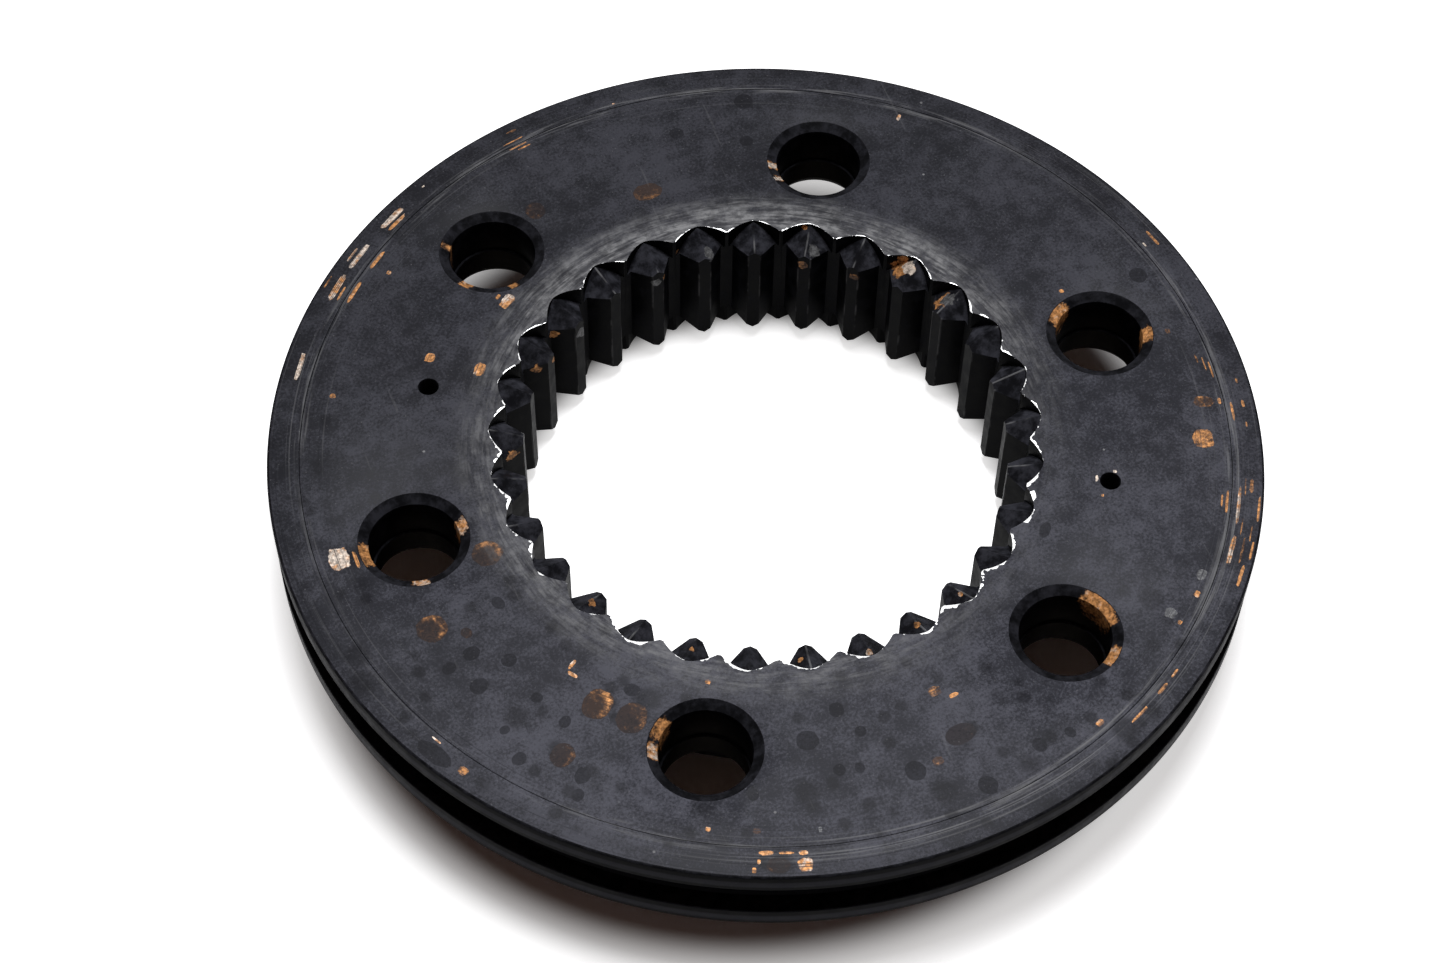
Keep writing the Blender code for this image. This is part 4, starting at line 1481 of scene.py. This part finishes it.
def oily_black_and_painted_shade(context):
    """Near-black oily oxide on walls, bore and groove, partly painted shade, with a painted sheen and scuffs
    on the tooth ends, painted highlights on their edges, a painted reflection on the rim's flanges, and a
    few chips.
    """
    name = "oily_black_bore"
    if name in bpy.data.materials:
        return bpy.data.materials[name]
    colours = context.scene.bearing_colours
    oil = colours.oil
    pale = colour_of(colours.oxide_pale)
    material, tree, shader = new_material(name)
    place = own_place(tree)
    ring = place_group(tree, turning_group())
    chips = place_chips(tree, colours, *tooth_marks(tree, place), 0.0, 1.0)
    smear = noise(tree, place, 300.0, 5.0, 0.7)
    wet = ramp(tree, smear, 0.45, 0.75, 0.0, 0.7)
    # Painted shade, partly oil: walls, bores, teeth and groove are near-black
    tone = blend_colour(tree, wet, colour_of(oil, 0.1), colour_of(oil))
    in_bore = ramp(tree, ring["Radius"], 60.0 * MM, 58.0 * MM)
    # Painted sheen: the up-facing tooth roofs are paler than the walls, with scuffs
    roof = times(tree, ramp(tree, ring["Up"], 0.2, 0.6), ramp(tree, in_bore, 0.0, 1.0, 0.45, 1.0))
    scuff_and_sheen = ramp(tree, smear, 0.38, 0.68, 0.1, 0.6)
    tone = blend_colour(tree, times(tree, roof, scuff_and_sheen), tone, pale)
    # Painted highlights on the tooth ridges and tip corners
    edges = painted_tooth_edge_highlights(tree, ring, place, times(tree, roof, in_bore))
    tone = blend_colour(tree, times(tree, edges, 0.55), tone, colour_of(colours.rubbed))
    # Painted reflection: a paler strip along the lower middle of each flange on the rim's outer wall
    strip = times(tree, ramp(tree, ring["Flange"], 0.30, 0.44), ramp(tree, ring["Flange"], 0.82, 0.66))
    strip = times(tree, strip, ramp(tree, ring["Radius"], 99.3 * MM, 99.7 * MM))
    tone = blend_colour(tree, times(tree, strip, 0.32), tone, pale)
    finish = {
        "Base Color": blend_colour(tree, chips["Mask"], tone, chips["Metal"]),
        "Roughness": ramp(tree, smear, 0.3, 0.7, 0.36, 0.55),
        "Metallic": times(tree, chips["Mask"], 0.3),
        "Specular IOR Level": 0.015,
        "Normal": bumps(tree, smear, 0.25, 0.1 * MM),
    }
    set_inputs(tree, shader, finish)
    return material


def hazed(tree, colour, shade, scale, smooth, rough):
    """Colour and roughness of a plain finish with a faint grain, between two shades and two roughnesses."""
    haze = noise(tree, own_place(tree), scale, 4.0, 0.6)
    tone = blend_colour(tree, haze, colour_of(colour, shade), colour_of(colour))
    return {"Base Color": tone, "Roughness": ramp(tree, haze, 0.3, 0.7, smooth, rough)}


def bearing_steel(context):
    """Polished steel with a fine lapped grain."""
    name = "polished_bearing_steel"
    if name in bpy.data.materials:
        return bpy.data.materials[name]
    material, tree, shader = new_material(name)
    steel = hazed(tree, context.scene.bearing_colours.bearing_steel, 0.8, 900.0, 0.12, 0.24)
    set_inputs(tree, shader, {**steel, "Metallic": 1.0})
    return material


def cage_polymer(context):
    """Moulded natural polymer with a faint grain."""
    material, tree, shader = new_material("moulded_cage_polymer")
    set_inputs(tree, shader, hazed(tree, context.scene.bearing_colours.cage, 0.75, 500.0, 0.42, 0.58))
    return material


def seal_rubber(context):
    """Black rubber with a dusty bloom."""
    name = "black_seal_rubber"
    if name in bpy.data.materials:
        return bpy.data.materials[name]
    rubber = context.scene.bearing_colours.rubber
    material, tree, shader = new_material(name)
    bloom = noise(tree, own_place(tree), 700.0, 5.0, 0.7)
    dusty = ramp(tree, bloom, 0.4, 0.8)
    finish = {
        "Base Color": blend_colour(tree, dusty, colour_of(rubber), colour_of(rubber, 2.4)),
        "Roughness": ramp(tree, bloom, 0.3, 0.7, 0.55, 0.75),
        "Normal": bumps(tree, bloom, 0.2, 0.05 * MM),
    }
    set_inputs(tree, shader, finish)
    return material


# Floor: half its size, and its warm painted shade under the disc, with the radii where that starts and ends
FLOOR_HALF = 3.0
PAINTED_SHADE_PAPER = (0.90, 0.77, 0.66)
PAINTED_SHADE_FROM = (56.0 * MM, 60.0 * MM)
PAINTED_SHADE_TO = (90.0 * MM, 80.0 * MM)

# Glow of the floor where it is seen directly: strengths, and the distances over which each one grows
SHADE_GLOW = 0.60
SHADE_REACH = (82.0 * MM, 93.0 * MM)
SHADE_CENTRE = Vector((-9.8 * MM, -11.2 * MM, 0.0))
DISC_REACH = (84.0 * MM, 96.0 * MM)
BORE_GLOW = 0.76
BORE_REACH = (57.0 * MM, 48.5 * MM)
FAR_REACH = (0.25, 1.0)

# Surroundings and the soft lamp, in metres and watts
WHITE = (1.0, 1.0, 1.0, 1.0)
WARM_SHADE = (1.0, 0.58, 0.44, 1.0)
WORLD_LIGHT = 0.06
KEY_TINT = (0.97, 0.98, 1.0)
KEY_POWER = 17.5
KEY_SIZE = 0.5
KEY_PLACE = Vector((0.127, 0.24, 1.2))


def seen_directly(tree):
    """1 for rays that show the background: from the camera, from gloss and through glass."""
    rays = tree.nodes.new("ShaderNodeLightPath").outputs
    both = calc(tree, "MAXIMUM", rays["Is Camera Ray"], rays["Is Glossy Ray"])
    return calc(tree, "MAXIMUM", both, rays["Is Transmission Ray"])


def paper_material(context):
    """White paper that keeps its shadows, with a warm painted shade under the disc and a glow where it is
    seen directly.
    """
    paper = context.scene.bearing_colours.paper
    material, tree, shader = new_material("white_paper")
    place = own_place(tree)
    fibre = noise(tree, place, 240.0, 3.0, 0.6)
    tone = blend_colour(tree, fibre, colour_of(paper, 0.97), colour_of(paper))
    middle = measure(tree, "LENGTH", place)
    # Painted shade: the paper is tinted warm and darker under the disc
    under = times(tree, ramp(tree, middle, *PAINTED_SHADE_FROM), ramp(tree, middle, *PAINTED_SHADE_TO))
    glow = ramp(tree, measure(tree, "DISTANCE", place, SHADE_CENTRE), *SHADE_REACH, 0.0, SHADE_GLOW)
    glow = times(tree, glow, ramp(tree, middle, *DISC_REACH))
    glow = calc(tree, "ADD", glow, ramp(tree, middle, *BORE_REACH, 0.0, BORE_GLOW))
    glow = calc(tree, "MAXIMUM", glow, ramp(tree, middle, *FAR_REACH))
    finish = {
        "Base Color": blend_colour(tree, under, tone, colour_of(PAINTED_SHADE_PAPER)),
        "Roughness": 0.9,
        "Specular IOR Level": 0.1,
        "Emission Color": WHITE,
        "Emission Strength": times(tree, seen_directly(tree), glow),
    }
    set_inputs(tree, shader, finish)
    return material


def add_key_light():
    """The soft lamp, aimed at the ring."""
    lamp = bpy.data.lights.new("key_light", "AREA")
    lamp.shape = "DISK"
    lamp.size = KEY_SIZE
    lamp.energy = KEY_POWER
    lamp.color = KEY_TINT
    holder = bpy.data.objects.new("key_light", lamp)
    holder.location = KEY_PLACE
    holder.rotation_mode = "QUATERNION"
    holder.rotation_quaternion = (-KEY_PLACE).to_track_quat("-Z", "Y")
    bpy.context.scene.collection.objects.link(holder)


def set_world():
    """Soft surroundings, white where they are seen directly."""
    world = bpy.data.worlds.new("studio")
    world.use_nodes = True
    tree = world.node_tree
    direct = seen_directly(tree)
    sky = {
        "Color": blend_colour(tree, direct, WARM_SHADE, WHITE),
        "Strength": ramp(tree, direct, 0.0, 1.0, WORLD_LIGHT, 1.0),
    }
    set_inputs(tree, tree.nodes["Background"], sky)
    bpy.context.scene.world = world


def add_camera():
    """The camera at the photograph's place."""
    lens = bpy.data.cameras.new("view")
    lens.lens = CAMERA_LENS
    lens.sensor_width = SENSOR_WIDTH
    lens.sensor_fit = "HORIZONTAL"
    lens.clip_start = CLIP_START
    camera = bpy.data.objects.new("view", lens)
    look = (CAMERA_AIM - CAMERA_PLACE).to_track_quat("-Z", "Y").to_matrix().to_4x4()
    camera.matrix_world = Matrix.Translation(CAMERA_PLACE) @ look @ Matrix.Rotation(CAMERA_ROLL, 4, "Z")
    bpy.context.scene.collection.objects.link(camera)
    bpy.context.scene.camera = camera


class BEARING_OT_stage(bpy.types.Operator):
    """Set up the paper floor, the soft light and the camera"""

    bl_idname = "bearing.stage"
    bl_label = "Stage"

    def execute(self, context):
        bm = bmesh.new()
        bmesh.ops.create_grid(bm, x_segments=1, y_segments=1, size=FLOOR_HALF)
        floor = new_object(bm, "floor")
        floor.data.materials.append(paper_material(context))
        set_world()
        add_key_light()
        add_camera()
        context.scene.view_settings.view_transform = "Standard"
        return {"FINISHED"}


class BEARING_PT_panel(bpy.types.Panel):
    """Lists the steps that dress the bearing"""

    bl_idname = "BEARING_PT_panel"
    bl_label = "Slewing Ring Bearing"
    bl_space_type = "VIEW_3D"
    bl_region_type = "UI"
    bl_category = "Bearing"

    def draw(self, context):
        column = self.layout.column(align=True)
        for step in STEPS:
            column.operator(step.bl_idname)
        for group in (context.scene.bearing_sizes, context.scene.bearing_colours):
            box = self.layout.box()
            for name in group.bl_rna.properties.keys():
                if name not in ("rna_type", "name"):
                    box.prop(group, name)


# Operators in the order of the panel, and all classes in the order of their registration
STEPS = (
    BEARING_OT_stage,
    BEARING_OT_inner_ring,
    BEARING_OT_outer_ring,
    BEARING_OT_ball_row,
    BEARING_OT_small_pieces,
)
CLASSES = (RingSizes, FinishColours, *STEPS, BEARING_PT_panel)


def register():
    """Registers the classes and the settings on the scene."""
    for item in CLASSES:
        bpy.utils.register_class(item)
    bpy.types.Scene.bearing_sizes = bpy.props.PointerProperty(type=RingSizes)
    bpy.types.Scene.bearing_colours = bpy.props.PointerProperty(type=FinishColours)


def unregister():
    """Takes the settings and the classes away again."""
    del bpy.types.Scene.bearing_colours
    del bpy.types.Scene.bearing_sizes
    for item in reversed(CLASSES):
        bpy.utils.unregister_class(item)


def main():
    """Builds the pieces and the stage."""
    register()
    bpy.ops.bearing.stage()
    bpy.ops.bearing.inner_ring()
    bpy.ops.bearing.outer_ring()
    bpy.ops.bearing.ball_row()
    bpy.ops.bearing.small_pieces()


if __name__ == "__main__":
    main()
